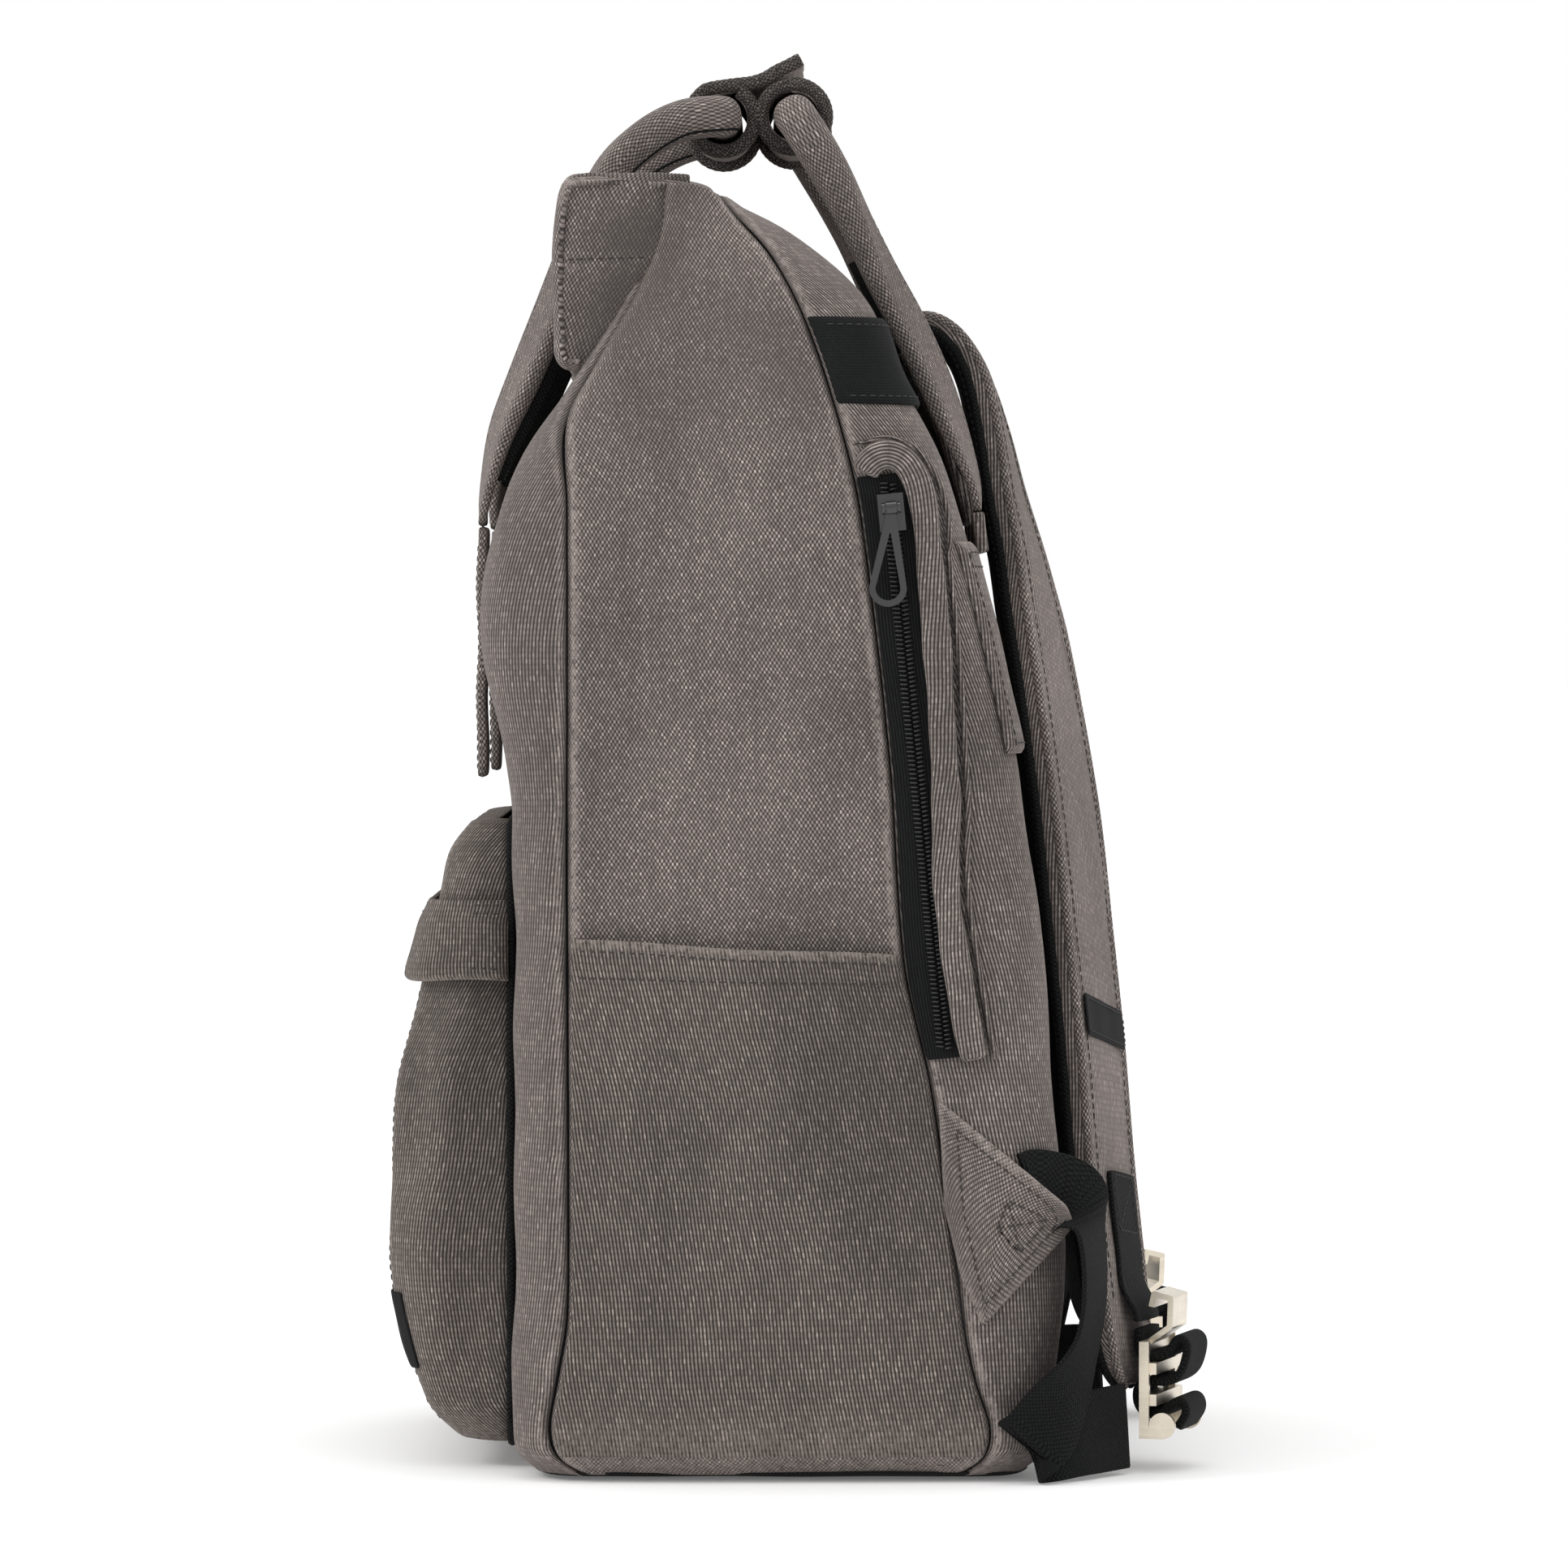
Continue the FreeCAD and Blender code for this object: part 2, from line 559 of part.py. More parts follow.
def handle_leg(path):
    """Stations from the anchor to the middle of the grip."""
    total = path_length(path)
    straight = total - TURN
    stations = []
    travelled = 0.0
    corner_distances = [0.0]
    for (y0, z0), (y1, z1) in zip(path, path[1:]):
        travelled += V(0, y1 - y0, z1 - z0).Length
        if travelled < straight:
            corner_distances.append(travelled)
    for distance in corner_distances:
        point, step = along(path, distance)
        gathered = min(distance / GATHER, 1.0)
        rolled = max(distance - ROLL_FROM, 0.0) / (straight - ROLL_FROM)
        width = dim("handle_width") + (dim("leg_width") - dim("handle_width")) * gathered
        width += (dim("grip_width") - dim("leg_width")) * rolled
        thick = dim("handle_thickness") + (dim("leg_thickness") - dim("handle_thickness")) * gathered
        thick += (dim("grip_thickness") - dim("leg_thickness")) * rolled
        turn = radians(dim("handle_twist")) * sin(radians(180.0 * distance / straight))
        outwards = V(1, 0, 0).cross(step) * (1 if step.y > 0 else -1)
        stations.append((V(HANDLE_X, 0, 0) + point, V(cos(turn), 0, 0) - outwards * sin(turn), width, thick))
    for angle in range(0, 91, 15):
        point, step = along(path, straight + TURN * sin(radians(angle)) * 0.999)
        x = HANDLE_X - TURN + TURN * cos(radians(angle))
        across = V(cos(radians(angle)), 0, 0) + step * sin(radians(angle))
        stations.append((V(x, 0, 0) + point, across, dim("grip_width"), dim("grip_thickness")))
    point, step = along(path, total)
    stations.append((V(0, 0, 0) + point, step, dim("grip_width"), dim("grip_thickness")))
    return stations


def handle(path):
    right = handle_leg(path)
    left = [(V(-c.x, c.y, c.z), V(a.x, -a.y, -a.z), width, thick) for c, a, width, thick in reversed(right[:-1])]
    return ribbon(right + left)


node("front_handle", handle(FRONT_PATH))
node("back_handle", handle(BACK_PATH))

patch = [(-104.2, 243.0), (-104.4, 290.0), (-104.2, 329.5)]
pair("front_handle_anchor", ribbon(
    [(V(HANDLE_X, y, z), V(1, 0, 0), dim("handle_width"), dim("handle_thickness")) for y, z in patch]))
tab = [(72.5, 326.8), (71.4, 334.0)]
pair("back_handle_anchor", ribbon(
    [(V(HANDLE_X, y, z), V(1, 0, 0), dim("handle_width") + 4, dim("handle_thickness")) for y, z in tab]))

WRAP_HALF = dim("wrap_length") / 2


def sleeve(centre_y, centre_z):
    start = V(-WRAP_HALF, centre_y, centre_z)
    tube = Part.makeCylinder(dim("wrap_radius"), 2 * WRAP_HALF, start, V(1, 0, 0))
    return tube.cut(Part.makeCylinder(dim("wrap_radius") - dim("wrap_wall"), 2 * WRAP_HALF, start, V(1, 0, 0)))


def band(points, thickness, half_span):
    """Cloth that follows a (Y, Z) line and is square across X, with rounded bends."""
    pieces = []
    for (y0, z0), (y1, z1) in zip(points, points[1:]):
        step = V(0, y1 - y0, z1 - z0)
        normal = V(0, -step.z, step.y)
        normal.normalize()
        normal = normal * (thickness / 2)
        start, end = V(-half_span, y0, z0), V(-half_span, y1, z1)
        ring = [start + normal, end + normal, end - normal, start - normal]
        pieces.append(Part.Face(Part.makePolygon(ring + ring[:1])).extrude(V(2 * half_span, 0, 0)))
    for y, z in points[1:-1]:
        pieces.append(Part.makeCylinder(thickness / 2, 2 * half_span, V(-half_span, y, z), V(1, 0, 0)))
    return pieces[0].fuse(pieces[1:]).removeSplitter()


FRONT_GRIP, BACK_GRIP = FRONT_PATH[-1], BACK_PATH[-1]
tongue_path = [(-15.5, 487.6), (-6.0, 489.6), (-0.5, 493.6), (4.0, 495.4), (9.5, 498.0)]
tongue = band(tongue_path, 2.6, WRAP_HALF)
node("front_wrap", sleeve(*FRONT_GRIP).fuse(tongue).cut(
    Part.makeCylinder(dim("wrap_radius") - dim("wrap_wall"), 2 * WRAP_HALF, V(-WRAP_HALF, *FRONT_GRIP), V(1, 0, 0))))
node("back_wrap", sleeve(*BACK_GRIP))

# ---------------------------------------------------------------- shoulder straps
# Height, middle Y, middle X, width and thickness of the right strap from its fold down to its tip.
STRAP_ROOT = [
    (333.0, 70.6, 24.0, 42.0, 6.0), (345.0, 66.9, 24.0, 42.0, 6.0), (362.0, 61.2, 24.0, 42.0, 6.0),
    (373.0, 56.4, 24.0, 42.0, 6.0), (384.0, 50.7, 24.0, 42.0, 6.0), (395.0, 45.6, 24.0, 42.0, 6.0),
]
STRAP = [
    (397.8, 44.5, 24.0, 42.0, 6.0), (403.0, 46.5, 24.0, 42.0, 7.0), (405.5, 53.0, 24.0, 42.0, 8.0),
    (402.0, 60.5, 24.0, 42.0, 9.0), (395.0, 67.0, 24.0, 42.0, 9.5), (384.0, 72.5, 24.0, 42.0, 10.5),
    (366.0, 77.5, 24.5, 43.0, 11.0), (344.0, 82.0, 25.0, 44.0, 11.0), (316.0, 89.0, 27.0, 45.0, 11.0),
    (274.0, 97.0, 39.0, 52.0, 11.0), (232.0, 103.0, 54.0, 58.5, 11.0), (190.0, 107.0, 68.0, 60.0, 11.0),
    (148.0, 111.0, 78.0, 60.0, 11.0), (106.0, 114.5, 85.0, 60.0, 11.0), (64.0, 119.0, 92.0, 58.0, 10.5),
    (44.0, 121.5, 95.0, 52.0, 9.5), (34.0, 122.8, 96.0, 40.0, 8.0), (29.0, 123.5, 96.5, 22.0, 6.5),
]
tilt = radians(dim("strap_tilt"))


def strap_stations(rows, low, high, trim=0.0, lean=tilt):
    """Part of the strap's thickness: low and high are shares of it, from the bag side outwards."""
    flat = [V(x, y, z) for z, y, x, _, _ in rows]
    stations = []
    for number, (z, y, x, width, thick) in enumerate(rows):
        ahead = flat[min(number + 1, len(rows) - 1)] - flat[max(number - 1, 0)]
        ahead.normalize()
        turn = lean * min(max((400.0 - z) / 100.0, 0.0), 1.0)
        across = V(cos(turn), -sin(turn), 0)
        side = across - ahead * across.dot(ahead)
        side.normalize()
        outwards = side.cross(ahead)
        centre = flat[number] + outwards * (thick * ((low + high) / 2 - 0.5))
        stations.append((centre, across, width - trim, thick * (high - low)))
    return stations


MESH_SHARE = 0.24
pair("strap_root", ribbon(strap_stations(STRAP_ROOT, 0.0, 1.0, lean=0.0)))
pair("strap_mesh", ribbon(strap_stations(STRAP, 0.0, MESH_SHARE, trim=4.0)))
pair("strap_pad", ribbon(strap_stations(STRAP, MESH_SHARE + 0.01, 1.0)))


def strap_row(z):
    """The strap between two listed heights, below its fold."""
    below_fold = STRAP[4:]
    for high, low in zip(below_fold, below_fold[1:]):
        if low[0] <= z <= high[0]:
            share = (high[0] - z) / (high[0] - low[0])
            return (z,) + tuple(a + (b - a) * share for a, b in zip(high[1:], low[1:]))
    return below_fold[-1]


def strap_overlay(heights, thickness, width):
    """Stations of a strip lying on the outer face of the right strap."""
    rows = [strap_row(z) for z in heights]
    stations = []
    for (centre, across, _, _), row in zip(strap_stations(rows, 0.0, 1.0), rows):
        turn = tilt * min(max((400.0 - row[0]) / 100.0, 0.0), 1.0)
        outwards = V(sin(turn), cos(turn), 0)
        lift = row[4] / 2 + gap + thickness / 2
        stations.append((centre + outwards * lift, across, width, thickness))
    return stations


node("strap_label", ribbon(strap_overlay((162.0, 148.0), 0.8, 50.0)))

BUCKLE_AT = V(95.0, 132.5, 29.0)
buckle_turn = FreeCAD.Rotation(V(0, 0, 1), -dim("strap_tilt"))
buckle_place = FreeCAD.Placement(BUCKLE_AT, buckle_turn)
webbing_t = dim("webbing_thickness")
HINGE_OUT, HINGE_UP = -2.2, 22.3  # where the buckle hangs from, from the middle of its plate
across_buckle = buckle_turn.multVec(V(1, 0, 0))


def from_buckle(out, up):
    return BUCKLE_AT + buckle_turn.multVec(V(0, out, up))


webbing = strap_overlay((101.0, 84.0, 66.0), webbing_t, dim("webbing_width"))
webbing.append((from_buckle(HINGE_OUT - 1.2, 27.5), across_buckle, dim("webbing_width"), webbing_t))
webbing.append((from_buckle(HINGE_OUT, HINGE_UP + 0.8), across_buckle, dim("webbing_width"), webbing_t))
pair("strap_webbing", ribbon(webbing))

# ---------------------------------------------------------------- ladder buckles
half_plate, half_height = dim("buckle_width") / 2, dim("buckle_height") / 2
sheet_t, rail, flange = dim("buckle_sheet"), dim("buckle_rail"), dim("buckle_flange")
side_rail = 5.5
BARS = ((5.5, 9.5), (-5.5, -1.5))
BAR_OUT = 6.0
plate = block((-half_plate, half_plate), (0, sheet_t), (-half_height, half_height))
plate = plate.cut(block(
    (side_rail - half_plate, half_plate - side_rail), (-1, sheet_t + 1), (rail - half_height, half_height - rail)))
for up in BARS:
    plate = plate.fuse(block((1.0 - half_plate, half_plate - 1.0), (0, BAR_OUT), up))
LOBE_RADIUS = 4.6
for x in (-half_plate, half_plate - sheet_t):
    side = (x, x + sheet_t)
    plate = plate.fuse([
        block(side, (0, flange), (-half_height, half_height)),
        block(side, (0, 8.2), (-half_height, rail - half_height)),
        Part.makeCylinder(LOBE_RADIUS, sheet_t, V(x, 8.2, LOBE_RADIUS - half_height), V(1, 0, 0)),
    ])
LIP_PATH = [(1.0, half_height - 1.0), (8.6, 21.5), (9.0, 31.5), (3.0, 33.0), (2.0, 28.5)]
plate = plate.fuse(band(LIP_PATH, sheet_t, 11.0)).removeSplitter()
FOLDED_PATH = [
    (HINGE_OUT, HINGE_UP - 0.8), (HINGE_OUT, 11.3), (7.5, 11.3), (12.2, 18.0), (15.0, 13.0), (13.6, 6.0), (8.2, 2.5),
    (-2.4, 2.5), (-2.4, -9.0), (8.0, -9.0), (13.0, -3.6), (14.8, -8.5), (11.0, -14.5),
]
folded = band(FOLDED_PATH, 2 * webbing_t - 0.2, 14.0)  # two layers
for name, shape in (("buckle", plate), ("buckle_webbing", folded)):
    placed = shape.copy()
    placed.Placement = buckle_place
    pair(name, placed)

# ---------------------------------------------------------------- lower webbing and its tabs
TAB = [(55.6, 133.0), (61.0, 129.0), (101.0, 96.0), (102.0, 88.0), (97.5, 83.0), (71.0, 53.5), (66.6, 57.0), (60.6, 95.0)]
pair("strap_tab", side_prism(TAB, half_width + 0.9, half_width + 3.5))

# Middle and width direction of the right webbing, from the tab to where it would reach the buckle.
LOWER = [
    ((149.6, 88.0, 99.0), (0.0, -0.2, 0.97), 1.0),
    ((147.8, 91.0, 99.5), (0.0, -0.1, 0.99), 1.0),
    ((142.8, 100.6, 97.0), (-0.26, 0.08, 0.93), 1.0),
    ((144.2, 107.2, 92.0), (-0.88, 0.3, 0.36), 1.0),
    ((144.4, 109.2, 84.5), (-0.95, 0.28, 0.1), 1.0),
    ((144.3, 110.2, 72.0), (-0.96, 0.27, 0.0), 1.0),
    ((144.3, 109.5, 58.0), (-0.96, 0.27, -0.02), 1.0),
    ((145.6, 106.5, 45.0), (-0.94, 0.3, -0.12), 1.0),
    ((149.0, 101.5, 33.0), (-0.82, 0.45, -0.33), 0.98),
    ((153.5, 95.5, 23.5), (-0.55, 0.62, -0.52), 0.93),
    ((156.5, 90.0, 16.5), (-0.3, 0.68, -0.64), 0.86),
    ((156.0, 87.0, 14.0), (-0.2, 0.68, -0.67), 0.82),
    ((152.8, 87.5, 13.2), (-0.18, 0.66, -0.7), 0.82),
    ((148.5, 95.0, 14.0), (-0.15, 0.5, -0.83), 0.85),
    ((141.0, 104.5, 15.6), (-0.1, 0.3, -0.93), 0.88),
    ((130.0, 113.5, 16.5), (0.0, 0.1, -0.98), 0.92),
    ((119.0, 122.0, 17.0), (-0.05, 0.1, -1.0), 0.93),
]
pair("lower_webbing", ribbon(
    [(V(*at), V(*across), dim("webbing_width") * share, webbing_t) for at, across, share in LOWER]))

# ---------------------------------------------------------------- checks and export
doc.recompute()
for feature in nodes:
    if any(state in ("Invalid", "Error") for state in feature.State):
        raise RuntimeError(f"{feature.Label}: {feature.State}")
    if feature.Shape.isNull() or not feature.Shape.isValid():
        raise RuntimeError(f"{feature.Label}: bad shape")
os.makedirs("parts", exist_ok=True)
for feature in nodes:
    feature.Shape.exportStep(f"parts/{feature.Label}.step")
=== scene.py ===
"""Looks of the roll-top travel backpack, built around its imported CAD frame. +Z is up, the pocket faces -Y."""
from bisect import bisect_left
from math import ceil, cos, exp, hypot, pi, radians, sin

import bmesh
import bpy
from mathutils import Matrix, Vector, noise


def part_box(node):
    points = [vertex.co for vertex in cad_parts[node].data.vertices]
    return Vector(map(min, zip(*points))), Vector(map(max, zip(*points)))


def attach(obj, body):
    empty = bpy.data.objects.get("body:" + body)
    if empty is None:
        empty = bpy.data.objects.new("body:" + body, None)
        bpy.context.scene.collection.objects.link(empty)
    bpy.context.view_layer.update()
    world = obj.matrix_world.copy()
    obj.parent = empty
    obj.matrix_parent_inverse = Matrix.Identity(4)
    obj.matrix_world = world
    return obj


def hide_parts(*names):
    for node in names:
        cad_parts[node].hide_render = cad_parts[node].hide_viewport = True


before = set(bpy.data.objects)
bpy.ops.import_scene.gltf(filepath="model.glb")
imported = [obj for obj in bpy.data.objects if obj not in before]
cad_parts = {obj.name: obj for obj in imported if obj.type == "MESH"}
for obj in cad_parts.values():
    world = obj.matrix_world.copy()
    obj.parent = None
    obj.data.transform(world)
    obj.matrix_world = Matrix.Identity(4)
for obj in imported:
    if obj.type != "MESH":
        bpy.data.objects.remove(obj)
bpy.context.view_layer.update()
MM = 0.001
scene = bpy.context.scene
SIDES = (("right", 1), ("left", -1))
RIGHT, FORWARD, BACKWARD, UP = Vector((1, 0, 0)), Vector((0, -1, 0)), Vector((0, 1, 0)), Vector((0, 0, 1))


# ---------------------------------------------------------------- small maths
def clamp(x, low=0, high=1):
    return max(low, min(high, x))


def smooth(a, b, x):
    """0 before a, 1 after b, eased between."""
    share = clamp((x - a) / (b - a))
    return share * share * (3 - 2 * share)


def table_at(rows, key):
    """Rows of (key, values...) read at a key, with eased slopes (Catmull-Rom)."""
    if key <= rows[0][0]:
        return rows[0][1:]
    if key >= rows[-1][0]:
        return rows[-1][1:]
    for n in range(len(rows) - 1):
        k1, k2 = rows[n][0], rows[n + 1][0]
        if k1 <= key <= k2:
            break
    p0, p1, p2, p3 = rows[max(n - 1, 0)], rows[n], rows[n + 1], rows[min(n + 2, len(rows) - 1)]
    x = (key - k1) / (k2 - k1)
    values = []
    for column in range(1, len(p1)):
        low, high = p1[column], p2[column]
        slope_low = (high - p0[column]) / (k2 - p0[0]) * (k2 - k1) if n > 0 else high - low
        slope_high = (p3[column] - low) / (p3[0] - k1) * (k2 - k1) if n + 2 < len(rows) else high - low
        values.append(
            (2 * x**3 - 3 * x**2 + 1) * low + (x**3 - 2 * x**2 + x) * slope_low
            + (3 * x**2 - 2 * x**3) * high + (x**3 - x**2) * slope_high)
    return tuple(values)


def run_lengths(points):
    """Distance along a polyline at each of its points."""
    run = [0]
    for a, b in zip(points, points[1:]):
        run.append(run[-1] + (b - a).length)
    return run


def locate(marks, value):
    """The span of rising marks that holds a value, and how far along it the value lies."""
    k = min(max(bisect_left(marks, value) - 1, 0), len(marks) - 2)
    return k, clamp((value - marks[k]) / max(marks[k + 1] - marks[k], 1e-9))


def row_between(start, end, share):
    return tuple(a + (b - a) * share for a, b in zip(start, end))


def resample(points, count):
    """Evenly spaced points along a polyline."""
    run = run_lengths(points)
    out = []
    for n in range(count):
        k, share = locate(run, run[-1] * n / (count - 1))
        out.append(points[k].lerp(points[k + 1], share))
    return out


def curve_through(points, count):
    """A smooth line through a few points, as evenly spaced points."""
    rows = [(float(n),) + tuple(p) for n, p in enumerate(points)]
    dense = [Vector(table_at(rows, (len(points) - 1) * n / (count * 4))) for n in range(count * 4 + 1)]
    return resample(dense, count)


def upright_curve(pairs, count):
    """A smooth line through (y, z) pairs."""
    return curve_through([Vector((0, y, z)) for y, z in pairs], count)


def rumple(p, size, seed=0):
    """Smooth noise from -1 to 1 with bumps of about this size."""
    return noise.noise(Vector((p.x / size + seed, p.y / size - seed * 0.7, p.z / size + seed * 1.3)))


def creases(p, *waves):
    """Slack of cloth: waves of (size in metres, seed, height) added up."""
    return sum(rumple(p, size, seed) * height for size, seed, height in waves)


# ---------------------------------------------------------------- meshes
def mesh_object(name, points, faces):
    mesh = bpy.data.meshes.new(name)
    mesh.from_pydata(points, [], faces)
    mesh.shade_smooth()
    obj = bpy.data.objects.new(name, mesh)
    scene.collection.objects.link(obj)
    return obj


def grid_mesh(name, rows, closed=False, wear_and_shade=None):
    """A quad mesh over rows of points, with UVs in metres and one value per point for rubbed paleness and
    painted shade.
    """
    height, width = len(rows), len(rows[0])
    points = [p for row in rows for p in row]
    faces = []
    columns = width if closed else width - 1
    for j in range(height - 1):
        for i in range(columns):
            k = (i + 1) % width
            faces.append((j * width + i, j * width + k, (j + 1) * width + k, (j + 1) * width + i))
    obj = mesh_object(name, points, faces)
    mesh = obj.data
    middle = width // 2
    along = [run_lengths(row + row[:1]) for row in rows]
    up = run_lengths([row[middle] for row in rows])
    uv = mesh.uv_layers.new(name="weave")
    for face, poly in zip(faces, mesh.polygons):
        i = face[0] % width
        for corner, loop in enumerate(poly.loop_indices):
            j = face[corner] // width
            column = i + (1 if corner in (1, 2) else 0)
            centre = along[j][-2] / 2 if not closed else 0
            uv.data[loop].uv = (along[j][column] - centre, up[j])
    layer = mesh.attributes.new("wear_and_shade", "FLOAT", "POINT")
    for n in range(len(points)):
        layer.data[n].value = wear_and_shade(n % width, n // width) if wear_and_shade else 0
    return obj


def grid_over(name, surface, across, up, wear_and_shade=None):
    """A grid mesh over surface(u, v)."""
    return grid_mesh(name, [[surface(u, v) for u in across] for v in up], wear_and_shade=wear_and_shade)


def solidify(obj, thickness, offset=-1):
    """Gives a sheet its cloth thickness, inwards from the built surface."""
    mod = obj.modifiers.new("cloth", "SOLIDIFY")
    mod.thickness = thickness
    mod.offset = offset
    return obj


def subdivide(obj, levels=1):
    mod = obj.modifiers.new("smooth", "SUBSURF")
    mod.levels = mod.render_levels = levels
    return obj


def flip(obj):
    obj.data.flip_normals()
    return obj


def piece(obj, body, material, replaces=()):
    """Puts a finished piece on its body."""
    obj.name = obj.name.replace(" ", "_")
    obj.data.materials.clear()
    obj.data.materials.append(material)
    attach(obj, body)
    if replaces:
        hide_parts(*replaces)
    return obj


def soft(obj, body, material, replaces=()):
    """A finished piece with its facets rounded off."""
    return piece(subdivide(obj), body, material, replaces)


def skin(name, rings):
    """Closed rings of points as one welded tube with capped ends."""
    obj = grid_mesh(name, [ring + ring[:1] for ring in rings])
    weld = obj.modifiers.new("weld", "WELD")
    weld.merge_threshold = 1e-6
    cap_ends(obj, len(rings[0]) + 1)
    return obj


def sweep(name, path, across, section):
    """Runs a closed section along a path. section(n) gives (across, out) offsets at station n."""
    rings = []
    last = len(path) - 1
    for n, centre in enumerate(path):
        ahead = (path[min(n + 1, last)] - path[max(n - 1, 0)]).normalized()
        side = across(n)
        side = (side - ahead * side.dot(ahead)).normalized()
        out = side.cross(ahead)
        rings.append([centre + side * a + out * o for a, o in section(n)])
    return skin(name, rings)


def cap_ends(obj, width):
    """Closes the two ends of a swept tube, keeping its UVs and its values of rubbing and painted shade."""
    old = obj.data
    count = len(old.vertices)
    first = list(reversed(range(width - 1)))
    final = list(range(count - width, count - 1))
    points = [v.co.copy() for v in old.vertices]
    faces = [tuple(p.vertices) for p in old.polygons] + [tuple(first), tuple(final)]
    uvs = [tuple(d.uv) for d in old.uv_layers["weave"].data]
    uvs += [(points[n].x, points[n].z) for n in first + final]
    wear_and_shade_values = [d.value for d in old.attributes["wear_and_shade"].data]
    fresh = bpy.data.meshes.new(obj.name)
    fresh.from_pydata(points, [], faces)
    for data, value in zip(fresh.uv_layers.new(name="weave").data, uvs):
        data.uv = value
    for data, value in zip(fresh.attributes.new("wear_and_shade", "FLOAT", "POINT").data, wear_and_shade_values):
        data.value = value
    fresh.shade_smooth()
    obj.data = fresh
    bpy.data.meshes.remove(old)


def rounded_bar(width, thickness, crown=0, corner=None, count=6):
    """Closed section of a strap: flat sides with round edges, crowned on its outer face."""
    r = min(corner if corner is not None else thickness / 2, thickness / 2)
    half, deep = width / 2 - r, thickness / 2 - r
    ring = []
    for cx, cy, start in ((half, deep, 0), (-half, deep, 90), (-half, -deep, 180), (half, -deep, 270)):
        for n in range(count + 1):
            angle = radians(start + 90 * n / count)
            ring.append((cx + r * cos(angle), cy + r * sin(angle)))
        if cx * (1 if start in (0, 180) else -1) > 0 and start in (0, 180):
            sign = 1 if start == 0 else -1
            for n in range(1, 8):
                share = n / 8
                lift = crown * sin(pi * share) if sign > 0 else 0
                ring.append((sign * half * (1 - 2 * share), sign * (deep + r) + lift))
    return ring


# ---------------------------------------------------------------- materials
class Nodes:
    """Short hand for building one material's node tree."""

    def __init__(self, name):
        self.material = bpy.data.materials.new(name)
        self.material.use_nodes = True
        self.tree = self.material.node_tree
        self.shader = self.tree.nodes["Principled BSDF"]

    def add(self, kind, **settings):
        node = self.tree.nodes.new(kind)
        for key, value in settings.items():
            setattr(node, key, value)
        return node

    def link(self, source, target):
        self.tree.links.new(source, target)

    def put(self, socket, value):
        if isinstance(value, bpy.types.NodeSocket):
            self.link(value, socket)
        else:
            socket.default_value = value

    def look(self, **values):
        """Fills the shader's own sockets. An underscore stands for a space in a socket's name."""
        for key, value in values.items():
            self.put(self.shader.inputs[key.replace("_", " ")], value)

    def math(self, operation, *values):
        node = self.add("ShaderNodeMath", operation=operation)
        for socket, value in zip(node.inputs, values):
            self.put(socket, value)
        return node.outputs[0]

    def plus(self, a, b):
        return self.math("ADD", a, b)

    def less(self, a, b):
        return self.math("SUBTRACT", a, b)

    def times(self, a, b):
        return self.math("MULTIPLY", a, b)

    def swing(self, value, size):
        """A noise value moved to run either side of 0."""
        return self.times(self.less(value, 0.5), size)

    def mix(self, share, a, b):
        """Blend of two numbers."""
        node = self.add("ShaderNodeMix", data_type="FLOAT")
        self.put(node.inputs[0], share)
        self.put(node.inputs[2], a)
        self.put(node.inputs[3], b)
        return node.outputs[0]

    def blend(self, share, a, b, mode="MIX"):
        """Blend of two colours."""
        node = self.add("ShaderNodeMix", data_type="RGBA", blend_type=mode)
        self.put(node.inputs[0], share)
        self.put(node.inputs[6], a)
        self.put(node.inputs[7], b)
        return node.outputs[2]

    def noise(self, vector, scale, detail=2, roughness=0.5):
        node = self.add("ShaderNodeTexNoise")
        for key, value in (("Vector", vector), ("Scale", scale), ("Detail", detail), ("Roughness", roughness)):
            self.put(node.inputs[key], value)
        return node.outputs["Fac"]

    def ramp(self, value, low, high):
        """0 at low, 1 at high, eased between."""
        node = self.add("ShaderNodeMapRange", interpolation_type="SMOOTHSTEP")
        self.put(node.inputs[0], value)
        node.inputs[1].default_value = low
        node.inputs[2].default_value = high
        return node.outputs[0]

    def vector(self, x, y, z=0):
        node = self.add("ShaderNodeCombineXYZ")
        for socket, value in zip(node.inputs, (x, y, z)):
            self.put(socket, value)
        return node.outputs[0]

    def bump(self, height, depth, strength=1, below=None):
        node = self.add("ShaderNodeBump")
        node.inputs["Strength"].default_value = strength
        node.inputs["Distance"].default_value = depth
        self.put(node.inputs["Height"], height)
        if below is not None:
            self.link(below, node.inputs["Normal"])
        return node.outputs["Normal"]


def shade(colour, amount):
    return tuple(clamp(c * amount) for c in colour[:3]) + (1,)


